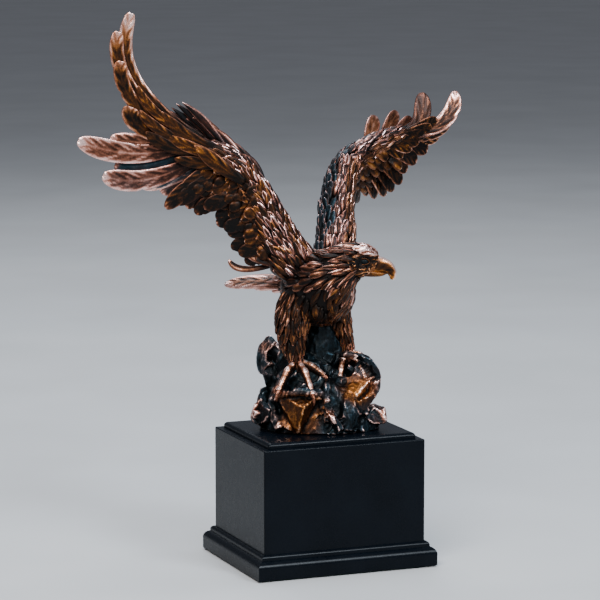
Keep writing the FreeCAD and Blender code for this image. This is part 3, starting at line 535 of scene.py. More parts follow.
def left_wing():
    """Far wing: raised and swept back, seen nearly edge-on from the front."""
    casting = Casting("left_wing", "left_wing_casting")
    face = vec(0.86, -0.51, 0.0)
    arm = Limb([
        ((7, 6, 196), 14, 10.5),
        ((11.5, 15, 211), 13.5, 11.5),
        ((12, 32, 236), 10.5, 9.6),
        ((19, 50, 259), 8.6, 7.6),
        ((38, 68, 271.5), 6.4, 4.6),
        ((60, 86, 279.5), 3.4, 2.4),
    ])
    tube(casting, arm, 60, 20, wear=0.1, amber=0.4, teal=0.3)
    towards = vec(0.35, -0.93, 0.1)
    raised = (
        ((34, 64, 266), (34, 74, 280), (40, 88, 290), 11),
        ((42, 71, 271), (48, 86, 286), (55, 98, 292), 9.5),
        ((48, 76, 273), (58, 89, 284), (65, 97, 287.5), 9.5),
        ((56, 82, 277), (76, 94, 282), (71, 98, 306), 13),
    )
    feathers(casting, raised, towards, slant=4.0, rub=0.35, edging=0.75, ground=0.5, wear=0.95, amber=0.3,
             teal=-0.2, **dict(PRIMARY, nicks=0))
    spread = (
        ((38, 67, 269), (52, 78, 262), (61, 82, 253), 12),
        ((42, 70, 271), (58, 83, 266), (68, 88, 259), 12),
        ((46, 73, 273), (66, 90, 270), (76, 97, 267), 12),
        ((50, 77, 275), (72, 95, 273), (84, 104, 277), 12),
        ((54, 81, 277), (80, 100, 274), (92, 108, 287), 12),
    )
    feathers(casting, spread, face, wear=1.05, amber=0.6, teal=0.0, **PRIMARY)
    feather(casting, (54, 82, 277), (96, 104, 277), (95, 112, 306), towards + UP * 0.4, 11.5, slant=3.4,
            rub=0.45, edging=0.84, ground=0.22, cup=0.16, wear=0.95, amber=0.3, teal=-0.2, **PRIMARY)
    fan(casting, ((36, 64, 267), (24, 53, 257)),
        sweep(((57, 78, 247), (45, 84, 229), (34, 73, 238)), 5),
        ((2, -1, 1), (1, 1, 1)), (12.5, 12), face, jitter=0.8, wear=0.8, amber=1.0, teal=0.0, **FLIGHT)
    fan(casting, ((21, 47, 251), (11, 22, 216)),
        sweep(((21, 72, 236), (16, 66, 216), (10, 46, 201)), 7),
        ((0, 2, 1), (0, 2, 1)), (12, 12), face, jitter=0.8, wear=0.8, amber=0.7, teal=0.1, **FLIGHT)
    roots = sweep(((38, 66, 269), (16, 48, 252), (11, 22, 216)), 12)
    tips = sweep(((60, 80, 250), (28, 84, 246), (10, 46, 201)), 12)
    for out, tone in ((unit(face), 0.95), (unit(-face), 0.2)):
        starts = (vec(58, 84, 280) + out * 2, vec(38, 67, 270) + out * 2)
        ends = [tip + out * 2.4 for tip in sweep(((80, 98, 288), (70, 92, 272), (50, 76, 259)), 7)]
        fan(casting, starts, ends, ((2, 2, -1), (0, 0, 1)), (9, 9), out, barbs=True, wear=0.9, amber=tone,
            teal=0.3 * (1 - tone))
        scales(casting, roots, tips, 4, out, 12, 8, wear=0.85, amber=tone, teal=0.4 * (1 - tone))

    # small feathers all round the arm: bright at the front, dark on the inner side
    def outwards(root, normal):
        return vec(0.15, 0.5, 0.85) if root[2] < WRIST_HEIGHT else vec(0.7, 0.6, 0.35)

    def inner(root, normal):
        return normal[0] < -0.25 or normal[1] > 0.5

    def middle(root, normal):
        return not inner(root, normal) and normal[0] < 0.55

    def outer(root, normal):
        return not inner(root, normal) and normal[0] >= 0.55

    coat(casting, arm, 0.3, 4.7, 10, 4.4, outwards, rise=2.2, keep=inner, blunt=1.5,
         wear=0.75, amber=0.0, teal=0.75)
    coat(casting, arm, 0.3, 4.7, 10, 3.9, outwards, rise=2.2, keep=middle, spread=0.95, blunt=1.6, rub=0.3,
         edging=0.95, wear=1.15, amber=0.0, teal=0.2)
    coat(casting, arm, 0.3, 4.7, 13, 3.4, outwards, rise=1.8, keep=outer, blunt=1.4, ground=0.2, wear=1.0,
         amber=0.6, teal=-0.1)
    return casting


# ------ tail
TAIL_LENGTH = 62
TAIL_LAYERS = (  # number of feathers, length, width, and height above the fan
    (9, TAIL_LENGTH, 12.5, 0.0), (7, 36, 9.5, 2.6), (7, 38, 9.5, -2.4), (6, 22, 8, 4.4), (6, 22, 8, -4.2),
)


def tail():
    """Tail: a fan of nine feathers with coverts above and below, each rolled a little to the near side."""
    casting = Casting("tail", "tail_casting")
    root = vec(-15, 27, 181)
    face = UP + vec(0, -0.8, 0)
    for layer, (count, reach, width, lift) in enumerate(TAIL_LAYERS):
        for i in range(count):
            share = 2 * i / (count - 1) - 1
            away = turned(-HEADING, math.radians((30 if layer == 0 else 25) * share))
            tip = root + away * reach * (1 - 0.08 * abs(share)) + UP * (lift - 3 * (reach / TAIL_LENGTH))
            start = root + away * 2 + UP * (lift * 0.6)
            feather(casting, start, (start + tip) / 2 + UP * 3, tip, face, width, thick=3.6, barbs=layer < 3,
                    slant=3.0, rub=0.5, ground=0.25, amber=0.2, teal=-0.4)
    stump = Limb([
        (root + HEADING * 5, 6.5, 6),
        (root - HEADING * 6, 5.5, 6.5),
        (root - HEADING * 16, 2.5, 7),
    ])
    tube(casting, stump, 14, 18, wear=0.2, amber=0.3, teal=0.3)
    return casting


# ------ body
TRUNK = Limb([
    ((-17, 30, 181), 7, 6.5),
    ((-10, 18, 181), 17.5, 15.5),
    ((-3.5, 5, 183), 22.5, 20.5),
    ((2, -7, 186), 23.2, 20.8),
    ((8, -14, 193), 18.6, 16.0),
    ((15.5, -16.5, 199.5), 13, 11.6),
    ((23.5, -16, 203), 11.4, 9.8),
    ((30.5, -15, 204.5), 10.6, 8.4),
    ((37, -14, 202), 6.4, 5.2),
])
BEAK = Limb([
    ((33, -14.6, 201.8), 6.0, 5.0),
    ((37, -14.3, 201.4), 5.7, 4.4),
    ((41, -14, 200.9), 5.0, 3.6),
    ((45, -13.8, 199.4), 4.2, 2.9),
    ((47.7, -13.7, 196.4), 3.2, 2.2),
    ((48.4, -13.6, 193.6), 2.4, 1.8),
    ((48.0, -13.6, 191.2), 1.3, 1.1),
], vec(0.7, 0, 0.7))
JAW = Limb([
    ((29, -14.8, 196.6), 3.4, 5.2),
    ((36, -14.4, 195.4), 2.5, 3.7),
    ((41, -14, 195.1), 1.8, 2.7),
    ((44.6, -13.9, 195.4), 0.6, 1.0),
])
THIGHS = {
    "right": Limb([
        ((-11, -5, 180), 14.5, 11.5),
        ((-17, -9, 164), 11, 9.8),
        ((-18, -11, 151), 7.4, 7.0),
        ((-16, -12, 141), 4.4, 4.2),
        ((-14.5, -12, 134), 3.4, 3.2),
    ], HEADING),
    "left": Limb([
        ((9, 7, 179), 13.5, 10.5),
        ((11, 7, 166), 10, 7.6),
        ((15, 7, 153), 6.4, 5.2),
        ((17.6, 7, 143.5), 4.0, 3.7),
        ((18.3, 7, 138), 3.3, 3.1),
    ], HEADING),
}
BROW = (  # stations on one side of the head: centre, distance out to the side, half height and half width
    ((21, -15.5, 212.5), 5.2, 1.4, 1.6), ((26.5, -15, 212.2), 7.6, 2.7, 2.5),
    ((32.5, -14.8, 210.2), 7.4, 2.7, 2.3), ((37.6, -14.5, 207.0), 4.6, 1.6, 1.4),
)
CHEEK = (
    ((20, -15.6, 200), 8.6, 3.5, 2.4), ((27, -15.2, 198), 7.6, 3.6, 2.2), ((33, -14.8, 198.4), 5.8, 2.2, 1.6),
)
NOSTRIL = (
    ((36, -14.4, 203.6), 4.6, 0.3, 0.3), ((37.2, -14.3, 203.9), 4.4, 0.7, 0.6),
    ((38.4, -14.3, 203.8), 4.0, 0.3, 0.3),
)
EYE = vec(29.5, -15, 204.2)
EYE_OUT = 8.1  # how far each eye is from the head's middle plane
HANDS = (vec(0, -1, 0), vec(0, 1, 0))  # near side and far side of the head


def body():
    """Trunk, neck, head, beak and thighs, feathered all over."""
    casting = Casting("eagle_body", "body_casting")
    shells = [skin(TRUNK.rings(50, 28, stop=6.2))]
    shells += [skin(limb.rings(24, 20)) for limb in THIGHS.values()]
    points, faces = fused(shells, voxel=1.3, smoothing=3)
    casting.add(points, faces, 0.08, 0.5, 0.25)
    head(casting)
    beak_parts(casting)
    plumage(casting)
    return casting


def paired(stations, hand):
    """Limb on one side of the head."""
    return Limb([(centre + hand * out, high, wide) for centre, out, high, wide in stations])


def head(casting):
    """Skull with brow ridges over sunken eyes, its plumage modelled as fine streaks."""
    shells = [skin(TRUNK.rings(30, 28, start=5.4))]
    for hand in HANDS:
        shells += [skin(paired(BROW, hand).rings(14, 12)), skin(paired(CHEEK, hand).rings(12, 12))]
    points, faces = fused(shells, voxel=0.55, smoothing=3)
    normals = normals_of(points, faces)
    dark = np.zeros(len(points))
    for hand in HANDS:
        away = np.linalg.norm((points - EYE - hand * EYE_OUT) * vec(0.62, 1, 1.15), axis=1)
        points = points - normals * (2.2 * np.exp(-(away / 2.9) ** 2))[:, None]
        dark = np.maximum(dark, np.exp(-(away / 4.0) ** 4))
    streaks = ridged(points, vec(0.09, 0.42, 0.42), 2)
    points = points + normals * ((streaks - 0.6) * 3.0 * (1 - dark))[:, None]
    edge = 0.55 * step(-0.05, 0.4, bulge(points, faces, 6)) + 0.35 * step(0.0, 1.1, bulge(points, faces, 40))
    # painted highlight: above 206 mm the crown and brow are made brighter and less amber, as if lit from
    # above
    top = step(206, 211, points[:, 2])
    # painted shade: the sunken eye sockets are cut to near black, as shade under the brow; the teal there is
    # patina
    wear = (0.14 + edge * mix(0.8, 1.1, top) + 0.26 * top) * (1 - 0.92 * dark)
    casting.add(points, faces, wear, 0.75 - 0.65 * top, 0.3 * dark)
    for hand in HANDS:
        centre = EYE + hand * (EYE_OUT - 1.3)
        ball = Limb([(centre + vec(x, 0, 0), size, size) for x, size in
                     ((-3.2, 0.3), (-2.4, 1.4), (-0.8, 2.1), (0.8, 2.1), (2.2, 1.4), (2.9, 0.3))])
        tube(casting, ball, 18, 18, wear=0.16, amber=0.0, teal=0.9)
        for height, size in ((1.9, 0.55), (-1.8, 0.45)):
            lid = Limb([(centre + vec(-4.2, 0, 0) + hand * 0.4, 0.3, 0.3),
                        (centre + vec(-1.6, 0, height) + hand * 1.4, size, size),
                        (centre + vec(1.4, 0, height) + hand * 1.4, size, size),
                        (centre + vec(4.2, 0, -0.3) + hand * 0.2, 0.3, 0.3)])
            tube(casting, lid, 14, 10, wear=0.34, amber=0.8, teal=0.0)


def beak_parts(casting):
    """Hooked upper beak with a bright ridge, a cere and nostrils at its root, and the lower jaw."""
    count, around = 70, 30
    t = np.linspace(0, BEAK.last, count)[:, None]
    angle = circle(around)
    from_top = np.abs((angle + math.pi) % (2 * math.pi) - math.pi)
    ridge = np.exp(-(from_top / 0.8) ** 2)
    lip = np.exp(-((from_top - 2.35) / 0.22) ** 2)

    def profile(t, angle):
        return 1 - 0.08 * np.sin(angle) ** 2 + 0.07 * lip + 0.04 * ridge

    points, faces = skin(BEAK.rings(count, around, swell=profile))
    # painted highlight: a broad pink band along the top of the beak, over its rubbed ridge; the lip and hook
    # tip are rubbed
    wear = 0.26 + ridge * step(0.8, 1.6, t) + 0.3 * lip
    wear = wear + 0.25 * step(3.8, 5.4, t) + 0.08 * np.sin(t * 5 + 4 * from_top)
    casting.add(points, faces, with_ends(wear), with_ends(1.0 - 0.95 * ridge * np.ones_like(t)), 0.0)
    cere = Limb([((33.5, -14.6, 202.0), 6.6, 5.6), ((35.6, -14.4, 201.8), 6.6, 5.2),
                 ((37.0, -14.3, 201.5), 5.9, 4.6)])
    tube(casting, cere, 12, 24, wear=0.55, amber=0.6, teal=0.0)
    tube(casting, JAW, 20, 18, wear=0.42, amber=1.0, teal=0.0)
    for hand in HANDS:
        tube(casting, paired(NOSTRIL, hand), 9, 10, wear=0.0, amber=0.0, teal=0.5)


def plumage(casting):
    """Feathers of the neck, back, breast and thighs, each lying with the flow of the coat."""
    neck_flow = vec(-1, 0.1, -0.1)

    def flow(root, normal):
        neck = step(6, 18, root[0])
        top = mix(vec(0, 0, -0.25) - HEADING, neck_flow, neck)
        under = mix(vec(-0.15, 0.25, -1), vec(-0.75, 0.1, -0.6), neck)
        return mix(top, under, step(0.1, -0.6, normal[2]))

    def neck_only(root, normal):
        return root[0] < 27 and all(np.linalg.norm(root - EYE - hand * EYE_OUT) > 6 for hand in HANDS)

    def down(root, normal):
        return vec(0.05, 0.05, -1)

    coat(casting, TRUNK, 6.5, 4.2, 11, 2.9, flow, rise=2.2, keep=neck_only, blunt=1.35, peak=0.5,
         edging=0.95, wear=1.1, amber=0.3, teal=0.0)
    # back, then breast and belly
    coat(casting, TRUNK, 4.3, 0.0, 10, 4.4, flow, rise=2.2, keep=lambda _, normal: normal[2] > -0.15,
         blunt=1.6, wear=0.95, amber=0.3, teal=0.15)
    coat(casting, TRUNK, 4.9, 0.0, 10.5, 4.0, flow, rise=2.2, keep=lambda _, normal: normal[2] <= -0.15,
         spread=0.72, blunt=1.4, wear=0.66, amber=0.95, teal=0.0)
    for limb in THIGHS.values():
        coat(casting, limb, 0.1, 2.8, 10, 3.3, down, rise=2.3, blunt=1.3, peak=0.5,
             wear=0.9, amber=0.65, teal=0.05)
        coat(casting, limb, 2.7, 3.9, 5, 2.2, down, rise=0.9, spread=0.8, blunt=1.8, amber=0.3, teal=0.1)


# ------ feet
FEET = {  # ankle, then each toe's turn from the heading in degrees, its length and its drop
    "right": (vec(-14.5, -12, 134), ((-66, 20, 15), (-4, 23, 17), (46, 18, 7), (172, 12, 5))),
    "left": (vec(18.3, 7, 138), ((-44, 17, 13), (6, 21, 14), (54, 17, 7), (186, 12, 5))),
}
KNOTS = np.array([0.9, 2.0, 3.1, 4.0])  # where a toe swells, in stations along it
SCUTES = 3.1  # scutes from one station of a toe to the next


def scutes(t, angle):
    """A toe's swell at its knots, and the grooves between its scutes."""
    swelling = np.exp(-((t[..., None] - KNOTS) / 0.22) ** 2).sum(-1)
    grooves = 0.05 * np.abs(np.sin(t * math.pi * SCUTES + 0.4 * np.sin(angle))) * (np.cos(angle) > -0.3)
    return 1 + 0.10 * swelling + grooves


def foot(side):
    """Ankle and four toes with overlapping scutes, each ending in a curved claw."""
    ankle, toes = FEET[side]
    casting = Casting(f"{side}_foot", f"{side}_foot_casting")
    pad = Limb([(ankle + UP * 8, 3.4, 3.2), (ankle, 4.0, 3.8), (ankle - UP * 5, 3.4, 3.2)], HEADING)
    tube(casting, pad, 14, 16, wear=0.35, amber=0.3, teal=0.2)
    count, around = 60, 16
    t = np.linspace(0, 4, count)[:, None]
    ridge = step(0.3, 1.0, np.cos(circle(around)))
    swelling = np.exp(-((t - KNOTS) / 0.25) ** 2).sum(1, keepdims=True)
    wear = 0.15 + ridge * (0.5 + 0.35 * swelling) + 0.15 * np.abs(np.sin(t * math.pi * SCUTES))
    for degrees, length, drop in toes:
        out = turned(HEADING, math.radians(degrees))
        knuckle = ankle + out * (length * 0.5) + UP * (0.5 - 0.25 * drop)
        end = ankle + out * length - UP * drop
        toe = Limb([
            (ankle + out * 0.5 + UP * 3, 2.6, 2.5),
            (mix(ankle, knuckle, 0.6) + UP, 2.5, 2.2),
            (knuckle, 2.9, 2.5),
            (mix(knuckle, end, 0.55) + out * 0.6, 2.2, 2.0),
            (end, 2.3, 2.0),
        ], UP + out * 0.3)
        points, faces = skin(toe.rings(count, around, swell=scutes))
        casting.add(points, faces, with_ends(wear), 0.4, 0.1)
        claw = Limb([
            (end - out * 0.8 + UP * 0.4, 1.9, 1.7),
            (end + out * 1.9 - UP * 1.2, 1.5, 1.3),
            (end + out * 2.9 - UP * 4.0, 0.9, 0.8),
            (end + out * 2.4 - UP * 6.8, 0.25, 0.25),
        ], UP + out)
        tube(casting, claw, 18, 12, wear=0.55, amber=0.2, teal=0.1)
    return casting


# ------ rock
# spurs and folds of the rock: each a line of (X, Y, Z, radius)
SPURS = (
    ((-20, 4, 108, 13), (-31, 3, 123, 8), (-36, 2, 136, 5.5), (-34, 2, 145, 4.8), (-30, 2, 148.5, 3.6)),
    ((-14, 2, 112, 13), (-21, 2, 128, 8), (-25, 2, 138, 5), (-28, 2, 143, 4)),
    ((15, 2, 107, 15), (26, 1, 119, 12.0), (28.5, 1, 130, 9.0), (22, -1, 135, 6.5)),
    ((20, -6, 99.5, 9), (35, -6, 98.5, 8.2), (45, -6, 100, 5)),
    ((-24, -8, 99.5, 9.5), (-37, -8, 99.5, 8.5), (-44.5, -7, 102, 5)),
    ((5, 8, 122, 17), (2, 8, 144, 14.5), (1, 6, 168, 10)),
    ((-20, -16, 92, 13), (-13, -15, 106, 10), (-12, -13, 114, 8)),
    ((18, -20, 92, 9), (20, -19, 104, 9), (17, -14, 114, 6)),
)
FOLDS = (
    ((14, -10, 140, 2.2), (25, -12, 139, 3.0), (34, -11, 134, 3.2), (38, -11, 125, 3.4),
     (35, -13, 113, 3.6), (24, -20, 106, 3.8), (12, -27, 98, 3.4)),
    ((13, -6, 140, 2.2), (8, -17, 128, 3.0), (4, -26, 117, 3.2), (8, -31, 105, 3.4), (13, -32, 93, 3.4)),
    ((-32, -18, 110, 2.6), (-23, -27, 117, 3.2), (-9, -31, 119, 3.2), (3, -28, 117, 2.8)),
    ((-18, -12, 130, 2.6), (-27, -15, 119, 3.2), (-31, -18, 106, 3.6), (-26, -26, 93, 3.4)),
    ((-33, 0, 128, 2.4), (-36, -2, 113, 4.2), (-38, -8, 106, 3.2)),
    ((30, -16, 104, 3.0), (36, -14, 97, 3.2), (44, -10, 97, 3.0)),
    ((-2, 28, 95, 3.5), (6, 27, 112, 3.5), (2, 22, 126, 3.2), (6, 14, 140, 3.0)),
    ((-26, 20, 94, 3.5), (-22, 22, 110, 3.5), (-24, 12, 124, 3.0)),
)
HOLLOWS = (  # centre, radius, depth
    ((9, -16, 131), 8, 5), ((-4, -22, 126), 6, 3), ((-32, -8, 119), 5, 3),
    ((28, -22, 98), 4, 3), ((14, 22, 118), 9, 4), ((-14, 24, 112), 8, 4),
)
CUTS = (  # centre, outward direction and radius of the large flat breaks
    ((18, -29, 101), (0.3, -0.9, 0.2), 9), ((30, -18, 110), (0.5, -0.8, -0.1), 8),
    ((-36, -14, 100), (-0.7, -0.7, 0.2), 9), ((36, -14, 97), (0.5, -0.7, 0.5), 7),
)
SHARDS = (  # two angular lumps: top left, top right, nose, foot, back left, back right and crest
    ((-29, -25, 117), (2, -26, 118), (-10, -36, 109), (-14, -32, 91), (-29, -6, 100), (6, -6, 100),
     (-12, -14, 121)),
    ((13, -15, 121), (35, -12, 125), (25, -22, 115), (24, -19, 106), (12, -2, 108), (35, -2, 110),
     (20, -8, 134.5)),
)
SHARD_FACES = (
    (0, 1, 2), (0, 2, 3), (2, 1, 3), (0, 3, 4), (1, 5, 3), (0, 6, 1), (0, 4, 6), (1, 6, 5), (4, 5, 6),
    (4, 3, 5),
)
FRONT_HIGHLIGHTS = (  # X, height and radius of the painted highlights on the front of the rock
    (-36, 144, 6), (-42, 105, 6), (41, 101, 7), (28, 119, 9), (-28, 116, 5), (9, 104, 5), (20, 137, 5),
    (-20, 97, 5),
)
FACETS = 110
FRONT = 10  # Y up to which the rock counts as its front


def flatten(points, centre, out, radius):
    """Breaks off whatever stands up to 4 mm above a plane near its centre."""
    offset = points - centre
    high = offset @ out
    near = (np.sum(offset ** 2, 1) < radius ** 2) & (high > 0) & (high < 4)
    points[near] -= out * high[near, None]


def lump(points, centre, size):
    """1 inside an ellipsoid, falling to 0 outside it."""
    return np.exp(-np.sum(((points - centre) / size) ** 2, 1) ** 2)


def rock():
    """Craggy perch: lumps and folds fused, hollowed, chipped into facets, then worn along its edges."""
    casting = Casting("rock", "rock_casting")
    core = Limb([
        ((0, 0, CAP_TOP + 0.6), 30, 41),
        ((0, 0, CAP_TOP + 9), 28, 38),
        ((0, 0, CAP_TOP + 24), 24, 32),
        ((1, 0, CAP_TOP + 33), 21, 30),
        ((4, 1, CAP_TOP + 39), 17, 26),
        ((6, 2, CAP_TOP + 43.5), 12, 20),
    ], vec(0, 1, 0))
    shells = [skin(core.rings(30, 30))]
    for spur in SPURS + FOLDS:
        limb = Limb([(point, radius, radius) for *point, radius in spur], vec(0.1, 1, 0.2))
        shells.append(skin(limb.rings(8 * len(spur), 14)))
    shells += [(np.array(shard), [np.array(SHARD_FACES)]) for shard in SHARDS]
    points, faces = fused(shells, voxel=0.7, smoothing=2)
    normals = normals_of(points, faces)
    boulder = lump(points, vec(-12, -30, 104), vec(17, 16, 15))
    leaf = lump(points, vec(24, -17, 116), vec(12, 10, 12))
    smooth = np.clip(boulder + leaf, 0, 1)
    for centre, radius, depth in HOLLOWS:
        near = np.exp(-np.sum((points - centre) ** 2, 1) / radius ** 2)
        points = points - normals * (depth * near)[:, None]
    crags = (ridged(points, vec(0.05, 0.05, 0.04), 2) - 0.6) * 4
    crags = crags + (ridged(points, vec(0.12, 0.12, 0.07), 2) - 0.6) * 2.5
    points = points + normals * (crags * (1 - 0.75 * smooth))[:, None]
    rough = np.flatnonzero(smooth < 0.4)
    for place in rng.choice(rough, FACETS, replace=False):
        out = unit(normals[place] + rng.normal(0, 0.16, 3))
        flatten(points, points[place] - out * rng.uniform(0.3, 1.1), out, rng.uniform(5, 10))
    for centre, out, radius in CUTS:
        flatten(points, centre + unit(out) * 0.5, unit(out), radius)
    normals = normals_of(points, faces)
    grain = ridged(points, vec(0.34, 0.34, 0.2), 2)
    points = points + normals * ((grain - 0.6) * 1.3)[:, None]
    points[:, 2] = np.maximum(points[:, 2], CAP_TOP + 0.15)
    fine, broad = bulge(points, faces, 5), bulge(points, faces, 60)
    wear = 0.22 + 0.55 * step(0.05, 0.5, fine) - 0.2 * step(0.0, -0.35, fine)
    wear = wear + 0.2 * step(0.4, 2.6, broad) - 0.2 * step(0.0, -1.6, broad)
    # painted shade: the upper rock between the legs, under the body, is made 30% darker
    pillar_shade = step(122, 132, points[:, 2]) * np.exp(-((points[:, 0] - 3) / 16) ** 4)
    wear = wear * (1 - 0.3 * pillar_shade)
    warm = np.clip(smooth + 0.5 * step(0.6, 0.75, ridged(points, vec(0.03, 0.03, 0.03), 1)), 0, 1)
    # painted highlights: spots on the front of the rock only, made brighter and less teal
    highlit = 0.0
    for x, height, radius in FRONT_HIGHLIGHTS:
        aside = (points[:, 0] - x) ** 2 + (points[:, 2] - height) ** 2
        highlit = highlit + np.exp(-aside / radius ** 2) * (points[:, 1] < FRONT)
    wear = np.minimum(wear + 0.15 * smooth, 0.82) + 0.2 * highlit
    casting.add(points, faces, wear, 0.15 + 0.75 * warm,
                0.95 * (1 - warm) * mix(0.75, 1.0, step(0.5, -1.0, broad)) - 0.5 * highlit)
    return casting


# ------ materials
def grey(level):
    return (level, level, level)


class Nodes:
    """A material's node tree, with short calls to add and join nodes."""

    def __init__(self, name):
        self.material = bpy.data.materials.new(name)
        self.material.use_nodes = True
        self.tree = self.material.node_tree
        self.shader = self.tree.nodes["Principled BSDF"]

    def add(self, kind, **settings):
        node = self.tree.nodes.new(kind)
        for key, value in settings.items():
            setattr(node, key, value)
        return node

    def feed(self, node, inputs):
        """Gives a node's inputs, by name or number, a plain value or another node's output."""
        for key, value in inputs.items():
            if isinstance(value, bpy.types.NodeSocket):
                self.tree.links.new(value, node.inputs[key])
            else:
                node.inputs[key].default_value = value

    def number(self, label):
        """A vertex value of the mesh."""
        return self.add("ShaderNodeAttribute", attribute_name=label).outputs["Fac"]

    def noise(self, scale, detail, roughness=0.55, stretch=None):
        """Noise over the object's own coordinates, which stretch multiplies."""
        place = self.add("ShaderNodeTexCoord").outputs["Object"]
        if stretch:
            mapping = self.add("ShaderNodeMapping")
            self.feed(mapping, {"Vector": place, "Scale": stretch})
            place = mapping.outputs["Vector"]
        node = self.add("ShaderNodeTexNoise")
        self.feed(node, {"Vector": place, "Scale": scale, "Detail": detail, "Roughness": roughness})
        return node.outputs["Fac"]

    def math(self, kind, a, b):
        node = self.add("ShaderNodeMath", operation=kind)
        self.feed(node, {0: a, 1: b})
        return node.outputs[0]

    def vary(self, value, source, amount):
        """The value moved up and down by noise around 0.5."""
        return self.math("ADD", value, self.math("MULTIPLY", self.math("SUBTRACT", source, 0.5), amount))

    def ramp(self, source, *stops):
        """Colour ramp; each stop is (place, colour)."""
        node = self.add("ShaderNodeValToRGB")
        elements = node.color_ramp.elements
        while len(elements) < len(stops):
            elements.new(0.5)
        for element, (place, colour) in zip(elements, stops):
            element.position = place
            element.color = (*colour, 1)
        self.feed(node, {"Fac": source})
        return node.outputs["Color"]

    def blend(self, share, a, b):
        """Colour between a and b."""
        node = self.add("ShaderNodeMix", data_type="RGBA")
        self.feed(node, {"Factor": share, 6: a, 7: b})
        return node.outputs[2]

    def finish(self, height, strength, distance, inputs):
        """Gives the shader its inputs and a bump, and returns the material."""
        self.feed(self.shader, inputs)
        node = self.add("ShaderNodeBump")
        self.feed(node, {"Height": height, "Strength": strength, "Distance": distance})
        self.feed(self.shader, {"Normal": node.outputs["Normal"]})
        return self.material


def bronze():
    """Antiqued bronze: black hollows and painted shade, amber and teal patina, pink copper rubs and painted
    highlights.
    """
    n = Nodes("antiqued_bronze")
    speckle = n.noise(1100, 5.0, 0.6)
    blotch = n.noise(140, 3.0)
    # rubbed metal together with the castings' painted highlights and painted shade, broken up by speckle and
    # blotches
    rubbed_and_lit = n.vary(n.vary(n.number("wear"), speckle, 0.42), blotch, 0.45)
    copper = n.ramp(rubbed_and_lit, (0.16, (0.004, 0.003, 0.003)), (0.40, (0.034, 0.012, 0.008)),
                    (0.60, (0.25, 0.092, 0.062)), (0.80, (0.76, 0.40, 0.34)), (1.0, (1.0, 0.72, 0.68)))
    golden = n.ramp(rubbed_and_lit, (0.14, (0.004, 0.002, 0.001)), (0.38, (0.060, 0.018, 0.003)),
                    (0.60, (0.34, 0.115, 0.014)), (0.82, (0.78, 0.36, 0.14)), (1.0, (1.0, 0.66, 0.54)))
    green = n.ramp(rubbed_and_lit, (0.14, (0.001, 0.003, 0.004)), (0.40, (0.007, 0.022, 0.031)),
                   (0.62, (0.055, 0.085, 0.100)), (0.80, (0.50, 0.33, 0.29)), (1.0, (0.92, 0.68, 0.60)))
    tarnish = n.vary(n.number("teal"), n.noise(60, 3.0), 0.9)
    colour = n.blend(n.math("MINIMUM", n.number("amber"), 1.0), copper, golden)
    share = n.ramp(tarnish, (0.3, grey(0)), (0.75, grey(1)))
    return n.finish(speckle, 0.35, 0.0004, {
        "Base Color": n.blend(share, colour, green),
        "Metallic": 0.85,
        "Roughness": n.ramp(rubbed_and_lit, (0.2, grey(0.50)), (0.85, grey(0.27))),
        "Coat Weight": 0.05,
        "Coat Roughness": 0.25,
    })


def black_lacquer():
    """Satin black lacquer over wood: a faint grain in the gloss, soft blue-black."""
    n = Nodes("black_lacquer")
    grain, cloud = n.noise(220, 3.0), n.noise(35, 2.0)
    return n.finish(grain, 0.05, 0.0003, {
        "Base Color": n.ramp(cloud, (0.3, (0.0008, 0.0018, 0.0034)), (0.7, (0.0016, 0.0030, 0.0052))),
        "Roughness": n.ramp(grain, (0.3, grey(0.25)), (0.7, grey(0.31))),
        "Specular IOR Level": 0.09,
    })


def bare_wood():
    """Pale softwood with its grain along X."""
    n = Nodes("bare_wood")
    grain = n.noise(60, 6.0, 0.5, stretch=(1, 9, 9))
    return n.finish(grain, 0.2, 0.0004, {
        "Base Color": n.ramp(grain, (0.3, (0.42, 0.27, 0.14)), (0.7, (0.68, 0.50, 0.30))),
        "Roughness": 0.75,
    })


def plated(name, low, high):
    """Machined metal with faint handling marks."""
    n = Nodes(name)
    marks = n.noise(500, 6.0, 0.7)
    return n.finish(marks, 0.1, 0.0002, {
        "Base Color": n.ramp(marks, (0.35, low), (0.65, high)),
        "Roughness": n.ramp(marks, (0.3, grey(0.25)), (0.7, grey(0.42))),
        "Metallic": 1.0,
    })


def felt():
    """Dark green felt, its fibres a fine fuzz."""
    n = Nodes("felt")
    fibre = n.noise(1800, 8.0, 0.75)
    return n.finish(fibre, 0.6, 0.0006, {
        "Base Color": n.ramp(fibre, (0.3, (0.006, 0.022, 0.012)), (0.7, (0.020, 0.055, 0.032))),
        "Roughness": 0.95,
        "Sheen Weight": 0.4,
    })


def dress_base():
    """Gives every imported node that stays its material."""
    by_slot = {
        "black_lacquered_wood": black_lacquer(),
        "bare_wood": bare_wood(),
        "felt": felt(),
        "steel": plated("zinc_steel", (0.42, 0.43, 0.45), (0.60, 0.61, 0.62)),
        "brass_insert": plated("brass", (0.55, 0.38, 0.14), (0.78, 0.58, 0.28)),
    }
    for part in frame["record"]["subparts"]:
        material = by_slot.get(part["material_slot"])
        if material:
            node = frame["nodes"][part["node"]]
            node.data.materials.clear()
            node.data.materials.append(material)


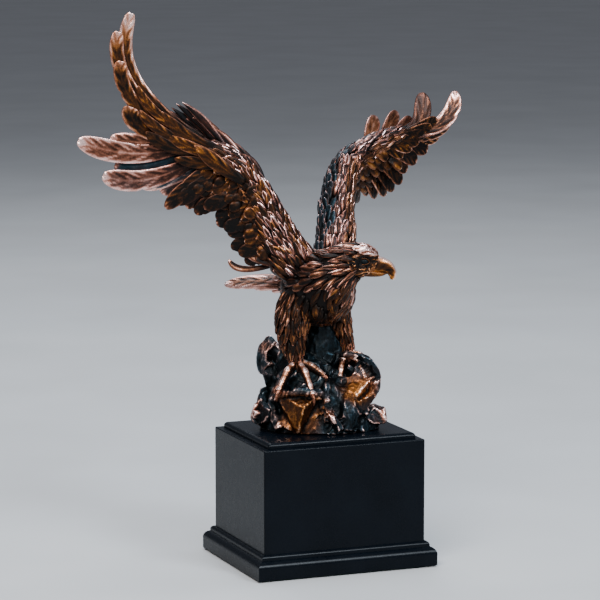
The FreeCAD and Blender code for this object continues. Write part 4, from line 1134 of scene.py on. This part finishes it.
# ------ stage
CAMERA_TURN = math.radians(-21.66)  # round the base, from its front towards its left side
CAMERA_RISE = math.radians(8.43)
CAMERA_AWAY = 2.0
CAMERA_LENS = 180.4
SENSOR_WIDTH = 36
AIM_LEFT = 0.0126
AIM_HEIGHT = 0.1754
LAMPS = (  # name, place, side of the soft box, watts and colour
    ("key", (-0.9, -1.1, 1.3), 0.8, 36, (1.0, 0.97, 0.94)),
    ("side", (0.66, -1.6, 1.25), 0.55, 40, (0.80, 0.90, 1.0)),
    ("top", (0.05, 0.15, 1.9), 0.7, 34, (0.74, 0.86, 1.0)),
    ("rim", (0.1, 1.4, 1.6), 0.9, 20, (0.86, 0.92, 1.0)),
)
LAMP_AIM = Vector((0, 0, 0.2))
FLOOR_REACH = 20.0


def camera():
    """Long lens that looks down a little at the statuette, from the front and left of its base."""
    sine, cosine = math.sin(CAMERA_TURN), math.cos(CAMERA_TURN)
    level = math.cos(CAMERA_RISE)
    back = Vector((sine * level, -cosine * level, math.sin(CAMERA_RISE)))
    right = Vector((cosine, sine, 0))
    data = bpy.data.cameras.new("camera")
    data.lens = CAMERA_LENS
    data.sensor_width = SENSOR_WIDTH
    data.clip_end = 50
    view = show("camera", data)
    place = right * -AIM_LEFT + Vector((0, 0, AIM_HEIGHT)) + back * CAMERA_AWAY
    turn = Matrix((right, back.cross(right), back)).transposed().to_4x4()
    view.matrix_world = Matrix.Translation(place) @ turn
    bpy.context.scene.camera = view


def lamp(name, place, size, power, colour):
    """Square soft box that faces the statuette."""
    data = bpy.data.lights.new(name, "AREA")
    data.size, data.energy, data.color = size, power, colour
    light = show(name, data)
    light.location = place
    light.rotation_euler = (LAMP_AIM - Vector(place)).to_track_quat("-Z", "Y").to_euler()


def studio():
    """Pale floor, grey sky and the soft boxes."""
    mesh = bpy.data.meshes.new("floor")
    corners = [(x * FLOOR_REACH, y * FLOOR_REACH, 0) for x, y in ((-1, -1), (1, -1), (1, 1), (-1, 1))]
    mesh.from_pydata(corners, [], [(0, 1, 2, 3)])
    n = Nodes("pale_floor")
    tone = n.ramp(n.noise(6, 2.0), (0.3, (0.42, 0.415, 0.41)), (0.7, (0.46, 0.455, 0.45)))
    n.feed(n.shader, {"Base Color": tone, "Roughness": 0.7})
    mesh.materials.append(n.material)
    show("floor", mesh)
    world = bpy.data.worlds.new("studio")
    world.use_nodes = True
    sky = world.node_tree.nodes["Background"].inputs
    sky["Color"].default_value = (0.42, 0.45, 0.52, 1)
    sky["Strength"].default_value = 0.45
    bpy.context.scene.world = world
    for values in LAMPS:
        lamp(*values)


# ------ the whole piece
metal = bronze()
for casting in (right_wing(), left_wing(), tail(), body(), rock(), foot("right"), foot("left")):
    casting.build(metal)
dress_base()
camera()
studio()
